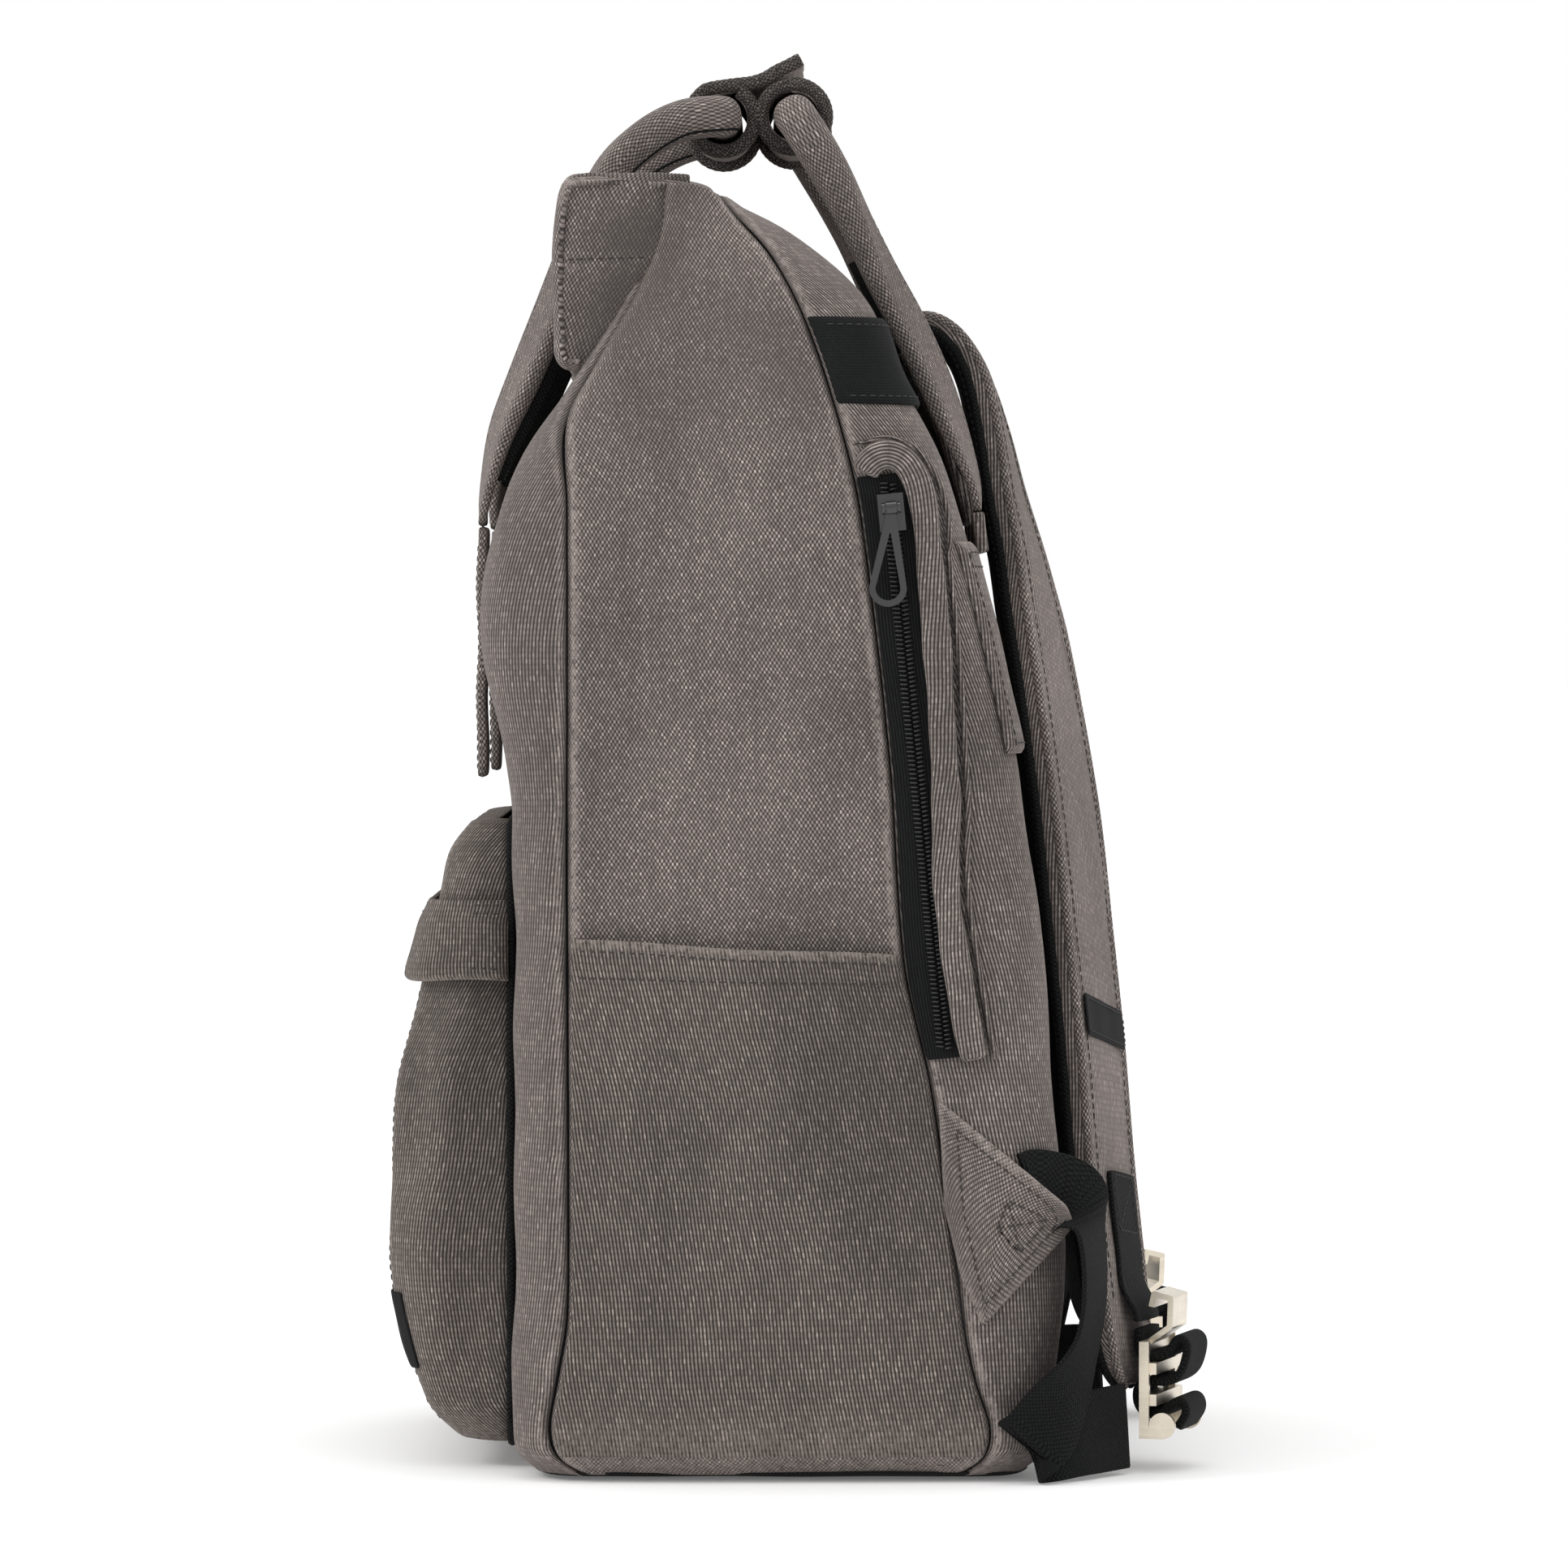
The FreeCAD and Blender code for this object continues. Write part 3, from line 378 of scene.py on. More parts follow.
def woven(name, colour, pitch, pattern, fleck=0.5, depth=0.00035, wash=0.2, sheen=0.25, stretch=1, slant=0):
    """Cloth with its own threads, washed unevenly. Positive values rub it paler; negative values darken it, as
    painted shade under the roll top and on and beside its ends, as dark seam lines, and as a darker strip near
    the front panel's side seams.

    pattern is "duck" (staggered grains), "rib" (upright ribs broken by cross threads) or "plain".
    pitch and depth are the threads' spacing and height in metres.
    """
    n = Nodes(name)
    uv = n.add("ShaderNodeUVMap", uv_map="weave").outputs[0]
    place = n.add("ShaderNodeTexCoord").outputs["Object"]
    split = n.add("ShaderNodeSeparateXYZ")
    n.link(uv, split.inputs[0])
    # threads are never quite straight
    bent = n.swing(n.noise(place, 9, 2, 0.5), pitch * 7)
    jitter = n.swing(n.noise(place, 260, 2, 0.6), pitch * 0.3)
    shift = n.plus(bent, jitter)
    lean = n.times(split.outputs[1], slant)
    u = n.math("DIVIDE", n.plus(n.plus(split.outputs[0], lean), shift), pitch)
    v = n.math("DIVIDE", n.plus(split.outputs[1], shift), pitch * stretch)

    def grain(offset):
        """One lattice of raised grains, and the number of the grain at each point."""
        uu, vv = n.plus(u, offset), n.plus(v, offset)
        across = n.math("SINE", n.times(n.math("FRACT", uu), pi))
        along = n.math("SINE", n.times(n.math("FRACT", vv), pi))
        row, column = n.times(n.math("FLOOR", vv), 2.9), n.times(n.math("FLOOR", uu), 3.7)
        return across, along, n.vector(column, row, offset * 8)

    across, along, number = grain(0)
    across_2, along_2, number_2 = grain(0.5)
    if pattern == "duck":
        first, second = n.times(across, along), n.times(across_2, along_2)
    elif pattern == "rib":
        first = n.times(across, n.plus(n.times(along, 0.22), 0.78))
        second = n.times(across_2, n.times(along_2, 0.42))
    else:
        first, second = across, n.times(along_2, 0.9)
    height = n.math("MAXIMUM", first, second)
    upper = n.math("GREATER_THAN", first, second)
    tone = n.mix(upper, n.noise(number_2, 1, 1), n.noise(number, 1, 1))
    base = n.blend(n.ramp(tone, 0.25, 0.75), shade(colour, 0.86), shade(colour, 1.16))
    # painted shade: the low gaps between the raised threads are darkened
    painted_hollow_shade = n.less(1, n.ramp(height, 0.38, 0.9))
    base = n.blend(n.times(painted_hollow_shade, 0.94), base, shade(colour, 0.14))
    fibre = n.noise(place, 1500, 3, 0.75)
    rubbed = n.ramp(n.plus(n.times(tone, 0.55), n.times(fibre, 0.6)), 0.52, 0.86)
    crown = n.times(n.ramp(height, 0.6, 0.98), rubbed)
    base = n.blend(n.times(crown, fleck), base, shade(colour, 3.6))
    # garment wash: broad cloudy patches, slanting streaks and fine heather
    turned = n.add("ShaderNodeMapping")
    n.link(place, turned.inputs[0])
    turned.inputs["Rotation"].default_value = (0.75, 0.2, 0.3)
    turned.inputs["Scale"].default_value = (7, 26, 7)
    streak = n.noise(turned.outputs[0], 1, 4, 0.6)
    cloud = n.noise(place, 11, 3, 0.6)
    heather = n.noise(place, 140, 3, 0.7)
    lift = n.plus(n.swing(cloud, wash * 4.2), n.swing(streak, wash * 4.8))
    lift = n.plus(n.plus(lift, n.swing(heather, wash * 1.5)), 1)
    base = n.blend(1, base, n.vector(lift, lift, lift), "MULTIPLY")
    # positive values of this point attribute rub the cloth paler; negative values darken it, for painted shade
    # and dark seam lines
    wear_and_shade_level = n.add("ShaderNodeAttribute", attribute_name="wear_and_shade").outputs["Fac"]
    rub = n.times(n.math("MAXIMUM", wear_and_shade_level, 0), n.ramp(n.noise(place, 420, 2, 0.7), 0.3, 0.66))
    base = n.blend(n.math("MINIMUM", rub, 0.6), base, shade(colour, 1.7))
    # painted shade and dark seam lines: negative values pull the colour towards 0.3 of itself
    painted_shade_and_dark_seams = n.times(n.math("MAXIMUM", n.times(wear_and_shade_level, -1), 0), 0.8)
    base = n.blend(n.math("MINIMUM", painted_shade_and_dark_seams, 1), base, shade(colour, 0.3))
    slub = n.bump(n.noise(place, 210, 3, 0.6), 0.0006, 0.5)
    n.look(Base_Color=base, Roughness=n.mix(height, 0.96, 0.84), Normal=n.bump(height, depth, 0.9, slub),
           Sheen_Weight=sheen, Sheen_Roughness=0.55, Sheen_Tint=shade(colour, 2.2), Specular_IOR_Level=0.2)
    return n.material


def plain_surface(name, colour, roughness, metal=0, grain=700, grain_depth=0.00005, scratch=0, coat=0):
    """Metal or plastic with a fine grain, uneven gloss and rubbed patches."""
    n = Nodes(name)
    place = n.add("ShaderNodeTexCoord").outputs["Object"]
    patch = n.noise(place, 55, 4, 0.6)
    fine = n.noise(place, grain, 3, 0.6)
    tone = n.blend(n.ramp(patch, 0.3, 0.7), shade(colour, 0.88), shade(colour, 1.12))
    if scratch:
        stretch = n.add("ShaderNodeMapping")
        n.link(place, stretch.inputs[0])
        stretch.inputs["Scale"].default_value = (40, 40, 1600)
        lines = n.noise(stretch.outputs[0], 1, 3, 0.7)
        tone = n.blend(n.times(n.ramp(lines, 0.5, 0.8), scratch), tone, shade(colour, 1.5))
    rough = n.plus(n.swing(patch, roughness * 0.5), roughness)
    n.look(Base_Color=tone, Metallic=metal, Roughness=rough, Coat_Weight=coat, Coat_Roughness=0.12,
           Normal=n.bump(fine, grain_depth, 0.5))
    return n.material


TAUPE = (0.212, 0.182, 0.168)
TAUPE_DARK = (0.16, 0.137, 0.123)
BLACK = (0.0075, 0.0082, 0.0082)
canvas = woven("canvas duck", TAUPE, 0.0015, "duck", fleck=0.7, stretch=1.5)
canvas_rib = woven("canvas rib", TAUPE, 0.00128, "rib", fleck=0.6, stretch=1.6, slant=0.12)
canvas_pocket = woven("pocket rib", TAUPE_DARK, 0.00128, "rib", fleck=0.6, stretch=1.6, slant=0.12)
braid = woven("braided edge", (0.085, 0.073, 0.067), 0.0017, "duck", fleck=0.8, depth=0.0006, wash=0.2)
webbing = woven("black webbing", BLACK, 0.002, "duck", fleck=0.3, depth=0.0005, sheen=0.12, stretch=0.8)
band_cloth = woven("black band", (0.006, 0.0066, 0.0066), 0.0011, "plain", fleck=0.2, depth=0.0002, wash=0.3,
                   sheen=0.04)
tape = woven("zip tape", (0.009, 0.0095, 0.01), 0.001, "rib", fleck=0.15, depth=0.00015, wash=0.1, sheen=0.08)
mesh_cloth = woven("spacer mesh", (0.011, 0.011, 0.012), 0.0026, "duck", fleck=0.1, depth=0.0007, wash=0.1,
                   sheen=0.1)
lining_cloth = woven("lining cloth", (0.03, 0.03, 0.032), 0.0008, "plain", fleck=0.1, depth=0.0001, wash=0.08)
# painted shade: the base is near-black to stand for the shadowed underside of the bag
base_cloth_painted_shade = woven("base cloth", (0.018, 0.017, 0.017), 0.001, "duck", fleck=0.15, depth=0.0002)
label_cloth = woven("label cloth", (0.012, 0.012, 0.013), 0.0006, "rib", fleck=0.1, depth=0.0001, wash=0.06)
thread = plain_surface("sewing thread", (0.03, 0.025, 0.023), 0.7, grain=2500, grain_depth=0.0001)
thread_black = plain_surface("black thread", (0.012, 0.012, 0.012), 0.65, grain=2500, grain_depth=0.0001)
nickel = plain_surface("satin nickel", (0.7, 0.63, 0.52), 0.3, metal=1, grain=1500, scratch=0.35)
gloss_black = plain_surface("gloss black", (0.008, 0.008, 0.009), 0.22, grain=900, grain_depth=0.00002,
                            coat=0.6)
nylon = plain_surface("zip coil nylon", (0.01, 0.01, 0.011), 0.38, grain=1800)
board = plain_surface("stiffener board", (0.05, 0.05, 0.05), 0.7, grain=300, grain_depth=0.0001)
foam = plain_surface("closed foam", (0.1, 0.1, 0.105), 0.9, grain=1400, grain_depth=0.0002)

# ---------------------------------------------------------------- shared surfaces
# Height, half width, front and back of the bag in millimetres, from the base to the mouth.
# The seams are (height, Y) rows: where the side panel meets the front panel and the back panel.
BODY = [
    (0, 145, -88, 90), (12, 150, -92, 96), (90, 150, -92, 99), (230, 150, -92, 88),
    (290, 150, -102, 76), (330, 149, -99, 66), (356, 147, -89, 58), (384, 142, -69, 43),
    (412, 133, -52, 31), (436, 123, -42, 2), (446, 120, -41, -20),
]
FRONT_SEAM = [
    (0, -64), (3, -69.5), (8, -75.5), (18, -78.5), (34, -76), (56, -72.5), (92, -72), (232, -72.5),
    (340, -72.5), (356, -73.5), (370, -72.5), (384, -66), (412, -50), (436, -41), (446, -39.5),
]
BACK_SEAM = [
    (0, 62), (3, 66), (8, 71.5), (18, 74), (34, 69), (52, 65), (92, 60), (138, 53),
    (180, 44), (250, 39), (335, 29), (358, 24), (397, 12), (425, -2), (446, -21),
]
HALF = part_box("side_panel_right")[1].x / MM
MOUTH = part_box("side_panel_right")[1].z / MM


def plan(z):
    """Half width, front, back and corner radius of the bag at a height."""
    hx, front, back = table_at(BODY, z)
    return hx, front, back, min(22, (back - front) * 0.35)


def at(x, y, z):
    """A point given in millimetres."""
    return Vector((x, y, z)) * MM


def seam_y(seam, z):
    return table_at(seam, z)[0]


def steps(low, high, size, edge=()):
    """Values from low to high about size apart, with extra ones close to both ends for a rolled seam."""
    count = max(int(ceil((high - low) / size)), 2)
    inner = [low + (high - low) * n / count for n in range(count + 1)]
    reach = edge[-1] if edge else 0
    middle = [v for v in inner if low + reach * 1.3 < v < high - reach * 1.3]
    return [low] + [low + e for e in edge] + middle + [high - e for e in reversed(edge)] + [high]


def surface_normal(surface, u, v, step=1.5):
    """Normal of a surface at (u, v). step is how far apart it is sampled along u."""
    along = surface(u + step, v) - surface(u - step, v)
    up = surface(u, v + 1.5) - surface(u, v - 1.5)
    return along.cross(up).normalized()


SEAM_EDGE = (0.7, 1.7, 3, 5, 7.5, 10)


def seam_profile(d):
    """How far the cloth stands out at a distance from a felled seam: a groove, a double layer, then flat."""
    groove = -1.7 * (1 - smooth(0, 2, d))
    return groove + 0.9 * smooth(0.5, 2.5, d) * (1 - smooth(8.5, 10.5, d))


def pucker(d, along, seed):
    """Small gathers that fade away from a seam."""
    wave = sin(along / 3.1 + 2 * sin(along / 23 + seed)) * 0.26 + sin(along / 6.7 + seed) * 0.3
    return wave * exp(-d / 9)


def wear_by_seam(d, reach=2.6):
    return clamp(1 - abs(d - 2.2) / reach)


def outline_x(z, y):
    """Half width of the bag at a height and a depth, rounded at its upright edges."""
    hx, front, back, r = plan(z)
    overrun = max(front + r - y, y - (back - r), 0)
    return hx - r + (max(r * r - min(overrun, r) ** 2, 0)) ** 0.5


def bottom_tuck(z):
    """The panels curl in under the bag at their lower seam."""
    return 5.5 * (1 - smooth(0, 13, z)) ** 1.6


# The side zip leans: its Y at its lower and its upper end.
ZIP_LOW, ZIP_HIGH = 150, 346
ZIP_LOW_Y, ZIP_HIGH_Y = 58, 38.5
ZIP_SLOPE = (ZIP_LOW_Y - ZIP_HIGH_Y) / (ZIP_HIGH - ZIP_LOW)


def zip_y(z):
    return ZIP_HIGH_Y + (ZIP_HIGH - z) * ZIP_SLOPE


def side_folds(y, z):
    """Slack of the side panel, kept off the zip. Positive stands out."""
    p = at(0, y, z)
    slack = creases(p, (0.085, 3, 2), (0.034, 8, 0.9), (0.013, 5, 0.16))
    # drag lines from the tight upper corner and from the lower tab
    pull = 1.5 * sin((y * 0.9 + z) / 14 + rumple(p, 0.06, 1) * 1.6) * exp(-((z - 385) / 42) ** 2)
    pull += 0.7 * sin((y - z * 0.5) / 11) * exp(-((z - 215) / 40) ** 2) * smooth(-20, 30, y)
    near_zip = 1 - smooth(9, 24, abs(y - zip_y(clamp(z, ZIP_LOW, ZIP_HIGH)) - 4))
    near_zip *= smooth(ZIP_LOW - 12, ZIP_LOW + 10, z) * (1 - smooth(ZIP_HIGH + 6, ZIP_HIGH + 20, z))
    return (slack - 0.4 + pull) * (1 - near_zip) - 0.5 * near_zip


def peak(y, z):
    """The mouth stands up towards the fold."""
    return 5.5 * smooth(422, 446, z) * (1 - smooth(-31, -12, y))


def side_surface(d, z, mirror):
    """Side panel: d is the distance back from its front seam."""
    front, back = seam_y(FRONT_SEAM, z), seam_y(BACK_SEAM, z)
    y = front + d
    edge = min(d, back - y)
    x = outline_x(z, y)
    lift = seam_profile(edge) + pucker(edge, z, front) + side_folds(y * mirror, z)
    lift += 0.5 * sin(pi * clamp(d / (back - front)))
    tuck = bottom_tuck(z)
    return at((x + lift - 0.9 * tuck) * mirror, y, z + 0.12 * tuck + peak(y, z))


SIDE_STEPS = steps(0, 144, 5, SEAM_EDGE)


def side_columns(z):
    """Distances from the front seam: fixed near both seams, and spread evenly between them."""
    width = seam_y(BACK_SEAM, z) - seam_y(FRONT_SEAM, z)
    full, reach = SIDE_STEPS[-1], SEAM_EDGE[-1]
    part = min(1, width / 60)
    out = []
    for d in SIDE_STEPS:
        near = min(d, full - d)
        if near <= reach:
            out.append(near * part if d < full / 2 else width - near * part)
        else:
            out.append(part * reach + (width - 2 * part * reach) * (d - reach) / (full - 2 * reach))
    return out


BODY_ROWS = [1.2, 2.2, 3.6, 5.5, 8, 11] + [15 + 4.6 * n for n in range(94)]
BODY_ROWS = [z for z in BODY_ROWS if z < MOUTH - 3.5] + [MOUTH - 2.2, MOUTH - 0.9]


def side_panel(side, mirror):
    columns = [side_columns(z) for z in BODY_ROWS]

    def wear_and_shade(i, j):
        z, d = BODY_ROWS[j], columns[j][i]
        edge = min(d, columns[j][-1] - d)
        place = at(0, seam_y(FRONT_SEAM, z) + d, z)
        # painted shade: the upper side panel darkens in patches under the roll top, and beside its front seam
        # below the roll's end (the last minus term)
        painted_shade_under_roll = smooth(335, 400, z) * (0.42 + 0.5 * rumple(place, 0.035, 44))
        return (0.75 * wear_by_seam(edge) + 0.35 * (1 - smooth(5, 30, z)) - 1.6 * (1 - smooth(0, 1.3, edge))
                - max(painted_shade_under_roll, 0) - 0.35 * (1 - smooth(4, 24, d)) * smooth(380, 410, z))

    rows = [[side_surface(d, z, mirror) for d in row] for z, row in zip(BODY_ROWS, columns)]
    obj = grid_mesh("side panel " + side, rows, wear_and_shade=wear_and_shade)
    return obj if mirror > 0 else flip(obj)


def corner_path(z, seam, sign_y):
    """Half of a panel's plan, from the seam to the middle: (x, y, distance, normal x, normal y)."""
    hx, front, back, r = plan(z)
    y_seam = seam_y(seam, z)
    face = front if sign_y < 0 else back
    arc_centre = face - sign_y * r
    straight = (y_seam - arc_centre) * -sign_y
    points, run, start_angle = [], 0, 0
    if straight > 0:
        points = [(hx, y_seam + sign_y * straight * n / 7, straight * n / 7, 1, 0) for n in range(7)]
        run = straight
    else:
        start_angle = clamp(-straight / r) * 1.2
    for n in range(10):
        angle = start_angle + (pi / 2 - start_angle) * n / 9
        points.append((hx - r + r * cos(angle), arc_centre + sign_y * r * sin(angle),
                       run + r * (angle - start_angle), cos(angle), sign_y * sin(angle)))
    run += r * (pi / 2 - start_angle)
    points += [((hx - r) * (1 - n / 29), face, run + (hx - r) * n / 29, 0, sign_y) for n in range(1, 30)]
    return points


FACE_COLUMNS = 32


def face_profile(z, seam, sign_y):
    """The half plan resampled at fixed distances from the seam, so every row has the same columns."""
    points = corner_path(z, seam, sign_y)
    marks = [p[2] for p in points]
    total = marks[-1]
    wanted = [0] + [e * min(1, total / 80) for e in SEAM_EDGE]
    start = wanted[-1]
    wanted += [start + (total - start) * n / FACE_COLUMNS for n in range(1, FACE_COLUMNS + 1)]
    out = []
    for d in wanted:
        k, share = locate(marks, d)
        out.append(row_between(points[k], points[k + 1], share))
    return out


def face_folds(x, z, sign_y):
    p = at(x, 0, z)
    slack = creases(p, (0.095, 20 + sign_y, 1.9), (0.037, 12 + sign_y, 0.7), (0.014, 2, 0.18))
    if sign_y < 0:
        # the front hangs slack above the pocket and creases beside it
        slack += 1.1 * sin((abs(x) * 0.8 + z) / 15) * smooth(232, 262, z) * (1 - smooth(330, 350, z))
        slack += 0.8 * sin(z / 9 + x / 40) * smooth(108, 120, abs(x)) * (1 - smooth(225, 250, z))
    else:
        slack += 0.9 * sin((z - abs(x) * 0.4) / 17) * (1 - smooth(225, 252, z))
    return slack


def face_panel(name, seam, sign_y):
    """Front or back panel, wrapped round both upright corners."""
    rows, wear_and_shade_values = [], []
    for z in BODY_ROWS:
        half = face_profile(z, seam, sign_y)
        tuck = bottom_tuck(z)
        ring, wear_row = [], []
        for side in (1, -1):
            part = []
            for x, y, d, nx, ny in (half if side > 0 else half[:-1]):
                lift = seam_profile(d) + pucker(d, z, side)
                if sign_y > 0:
                    by_zip = smooth(0.6, 2, d) * (1 - smooth(22, 30, d))
                    by_zip *= smooth(ZIP_LOW - 10, ZIP_LOW - 2, z)
                    by_zip *= 1 - smooth(ZIP_HIGH + 3, ZIP_HIGH + 10, z)
                    lift = lift * (1 - by_zip) - 0.9 * by_zip
                lift += (face_folds(side * x, z, sign_y) - 0.5) * smooth(14, 45, d)
                lift -= tuck * 0.9
                part.append((at(side * (x + nx * lift), y + ny * lift, z + 0.12 * tuck + peak(y, z)), d))
            ring += part if side > 0 else part[::-1]
        rows.append([p for p, _ in ring])
        # paler by the seams and towards the base, a dark seam line, and on the front panel a darker strip 16 to
        # 40 mm round from the side seams
        wear_and_shade_values.append([0.75 * wear_by_seam(d) - 1.6 * (1 - smooth(0, 1.3, d)) + 0.3 * (1 - smooth(5, 30, z))
                      - (0.3 if sign_y < 0 else 0) * (1 - smooth(16, 40, d)) for _, d in ring])
    obj = grid_mesh(name, rows, wear_and_shade=lambda i, j: wear_and_shade_values[j][i])
    return obj if sign_y > 0 else flip(obj)


def cloth(obj, body, material, nodes, thickness=1.3):
    """A finished cloth panel."""
    return soft(solidify(obj, thickness * MM), body, material, nodes)


# ---------------------------------------------------------------- sewn body
for side, mirror in SIDES:
    cloth(side_panel(side, mirror), "bag", canvas, ["side_panel_" + side])
cloth(face_panel("front panel", FRONT_SEAM, -1), "bag", canvas_rib, ["front_panel"])
cloth(face_panel("back panel", BACK_SEAM, 1), "bag", canvas_rib, ["back_panel"])


def lining_mesh():
    rows = []
    for z in BODY_ROWS[1:-1]:
        hx, front, back = table_at(BODY, z)
        inset = 4.2 + bottom_tuck(z)
        hx, front, back = hx - inset, front + inset, back - inset
        r = min(18, (back - front) * 0.32)
        ring = []
        corners = ((hx - r, front + r), (hx - r, back - r), (r - hx, back - r), (r - hx, front + r))
        for (cx, cy), start in zip(corners, (-90, 0, 90, 180)):
            angles = [radians(start + 15 * n) for n in range(7)]
            ring += [(cx + r * cos(angle), cy + r * sin(angle)) for angle in angles]
        row = []
        for a, b in zip(ring, ring[1:] + ring[:1]):
            count = 14 if hypot(b[0] - a[0], b[1] - a[1]) > 12 else 1
            for n in range(count):
                p = at(*row_between(a, b, n / 14), z)
                row.append(p + Vector((0, rumple(p, 0.03, 4) * 0.0008, 0)))
        rows.append(row)
    width = min(len(row) for row in rows)
    return grid_mesh("lining", [row[:width] for row in rows], closed=True)


cloth(lining_mesh(), "bag", lining_cloth, ["lining"], 0.5)


def base_mesh():
    """The base, slightly dished up between its seams."""
    rows = []
    low_y, high_y = -85, 88
    for j in range(41):
        y = low_y + (high_y - low_y) * j / 40
        corner = max(low_y + 20 - y, y - (high_y - 20), 0)
        half = 123 + (max(400 - corner ** 2, 0)) ** 0.5
        row = []
        for i in range(61):
            x = half * (2 * i / 60 - 1)
            rim = min(half - abs(x), y - low_y, high_y - y)
            z = 0.45 + 1.5 * (1 - smooth(0, 7, rim)) + 0.5 * smooth(8, 30, rim)
            row.append(at(x, y, z + 0.25 * (rumple(at(x, y, 0), 0.03, 6) + 1)))
        rows.append(row)
    return grid_mesh("base", rows)


soft(solidify(base_mesh(), 1.6 * MM, 1), "bag", base_cloth_painted_shade, ["base_panel"])


# ---------------------------------------------------------------- stitching
def line_on(surface, pairs, outward, step=1.5):
    """Points and outward normals of a line drawn on a surface."""
    points, normals = [], []
    for u, v in pairs:
        points.append(surface(u, v))
        normal = surface_normal(surface, u, v, step)
        normals.append(normal if normal.dot(outward) > 0 else -normal)
    return points, normals


def between(start, end, count):
    return [row_between(start, end, n / (count - 1)) for n in range(count)]


def stitch_rows(name, lines, body, material=None, length=2.5, pause=1, radius=0.3, stand=0.1):
    """Rows of raised lockstitches along lines of (points, normals)."""
    verts, faces = [], []
    # share of the stitch's length, its fatness and its height over the cloth, both in radii
    rings = ((0, 0.4, stand - 1), (0.22, 0.95, stand), (0.78, 0.95, stand), (1, 0.4, stand - 1))
    for points, normals in lines:
        run = run_lengths(points)

        def sample(distance):
            k, share = locate(run, distance)
            return points[k].lerp(points[k + 1], share), normals[k].lerp(normals[k + 1], share)

        pitch = (length + pause) * MM
        for n in range(int(run[-1] / pitch)):
            (a, up), (b, _) = sample(n * pitch), sample(n * pitch + length * MM)
            across = (b - a).cross(up).normalized()
            up = up.normalized()
            first = len(verts)
            for share, fat, lift in rings:
                centre = a.lerp(b, share) + up * (lift * radius * MM)
                for k in range(6):
                    angle = k * pi / 3
                    verts.append(centre + (across * cos(angle) + up * sin(angle) * 0.8) * (fat * radius * MM))
            for ring in range(3):
                for k in range(6):
                    p, q = first + ring * 6 + k, first + ring * 6 + (k + 1) % 6
                    faces.append((p, q, q + 6, p + 6))
            faces.append(tuple(first + k for k in range(5, -1, -1)))
            faces.append(tuple(first + 18 + k for k in range(6)))
    return piece(mesh_object(name, verts, faces), body, material or thread)


# ---------------------------------------------------------------- roll-top
# (Y, Z) of the folded top's section at its ends and in its middle, from the hanging edge to the mouth.
ROLL_END = [
    (-68, 385.5), (-73.5, 385.9), (-77, 390), (-78.3, 405), (-78.5, 420), (-78, 438), (-76.5, 449.5),
    (-71.5, 454.3), (-58, 454.8), (-46, 454.6), (-34, 454.2), (-28, 453.6), (-23, 452), (-20.6, 449.5),
]
ROLL_MID = [
    (-68, 385.5), (-72, 386.2), (-73.5, 389.5), (-71, 399), (-67.2, 411), (-63, 423), (-59, 434),
    (-54.5, 443.5), (-50, 449.5), (-44, 453.4), (-34, 454), (-28, 453.4), (-23, 451.9), (-20.6, 449.5),
]
ROLL_ROWS = 54
roll_end_line = upright_curve(ROLL_END, ROLL_ROWS)
roll_mid_line = upright_curve(ROLL_MID, ROLL_ROWS)
ROLL_HALF = 122


def roll_surface(x, row):
    """The folded top: row counts along the cloth from its hanging edge to the mouth."""
    share = smooth(74, 92, abs(x))
    k = int(clamp(row, 0, ROLL_ROWS - 1.001))
    part = clamp(row - k)
    line = [roll_mid_line[n].lerp(roll_end_line[n], share) for n in (k, k + 1)]
    p = line[0].lerp(line[1], part)
    ahead = (line[1] - line[0]).normalized()
    out = Vector((0, -ahead.z, ahead.y))
    edge = ROLL_HALF - abs(x)
    place = at(x, p.y * 0.6, p.z)
    lift = creases(place, (0.06, 31, 1.3), (0.022, 14, 0.55)) - 1
    lift += 0.7 * sin(x / 17 + rumple(place, 0.05, 2) * 2) * (1 - smooth(20, 34, row))
    lift += 0.8 * (1 - smooth(5.5, 7.5, row))
    lift -= 2.6 * (1 - smooth(0, 5, edge)) ** 2
    lift -= 2.6 * smooth(42, 52, row) * smooth(92, 116, abs(x))
    gather = 1 - 0.075 * smooth(36, ROLL_ROWS - 1, row) * smooth(60, 120, abs(x))
    return Vector((x * gather, p.y, p.z)) * MM + out * (lift * MM)


roll_columns = steps(-ROLL_HALF, ROLL_HALF, 5.5, (0.8, 2, 4, 7))
roll = grid_over("roll top", roll_surface, roll_columns, range(ROLL_ROWS),
                 wear_and_shade=lambda i, j: 0.6 * clamp(1 - abs(j - 31) / 7) + 0.5 * (1 - smooth(0, 3, j)))
cloth(roll, "roll_top", canvas, ["roll_top"], 2.2)


roll_front = sorted((p.z, p.y) for p in roll_end_line if p.y < -70)


def roll_side(back_share, z, mirror):
    """The end of the fold, hemmed along its front edge and seamed across."""
    front = table_at(roll_front, z)[0] + 0.9
    rear = min(seam_y(FRONT_SEAM, z) + 11, -30)
    d = back_share * (rear - front)
    lift = 0.9 * (1 - smooth(6.5, 8.5, d)) + creases(at(0, front + d, z), (0.03, 41, 1.3), (0.012, 7, 0.4))
    lift -= 1.1 * exp(-((z - 421 - d * 0.05) / 1.3) ** 2)
    lift -= 1.5 * (1 - smooth(0, 2.5, d))
    lift += 0.5 * sin(z / 8 + d / 12)
    hang = -2 * smooth(20, 45, d) - 7 * smooth(0.55, 1, back_share) * smooth(425, 450, z)
    return at((119.5 + lift + hang) * mirror, front + d, z)


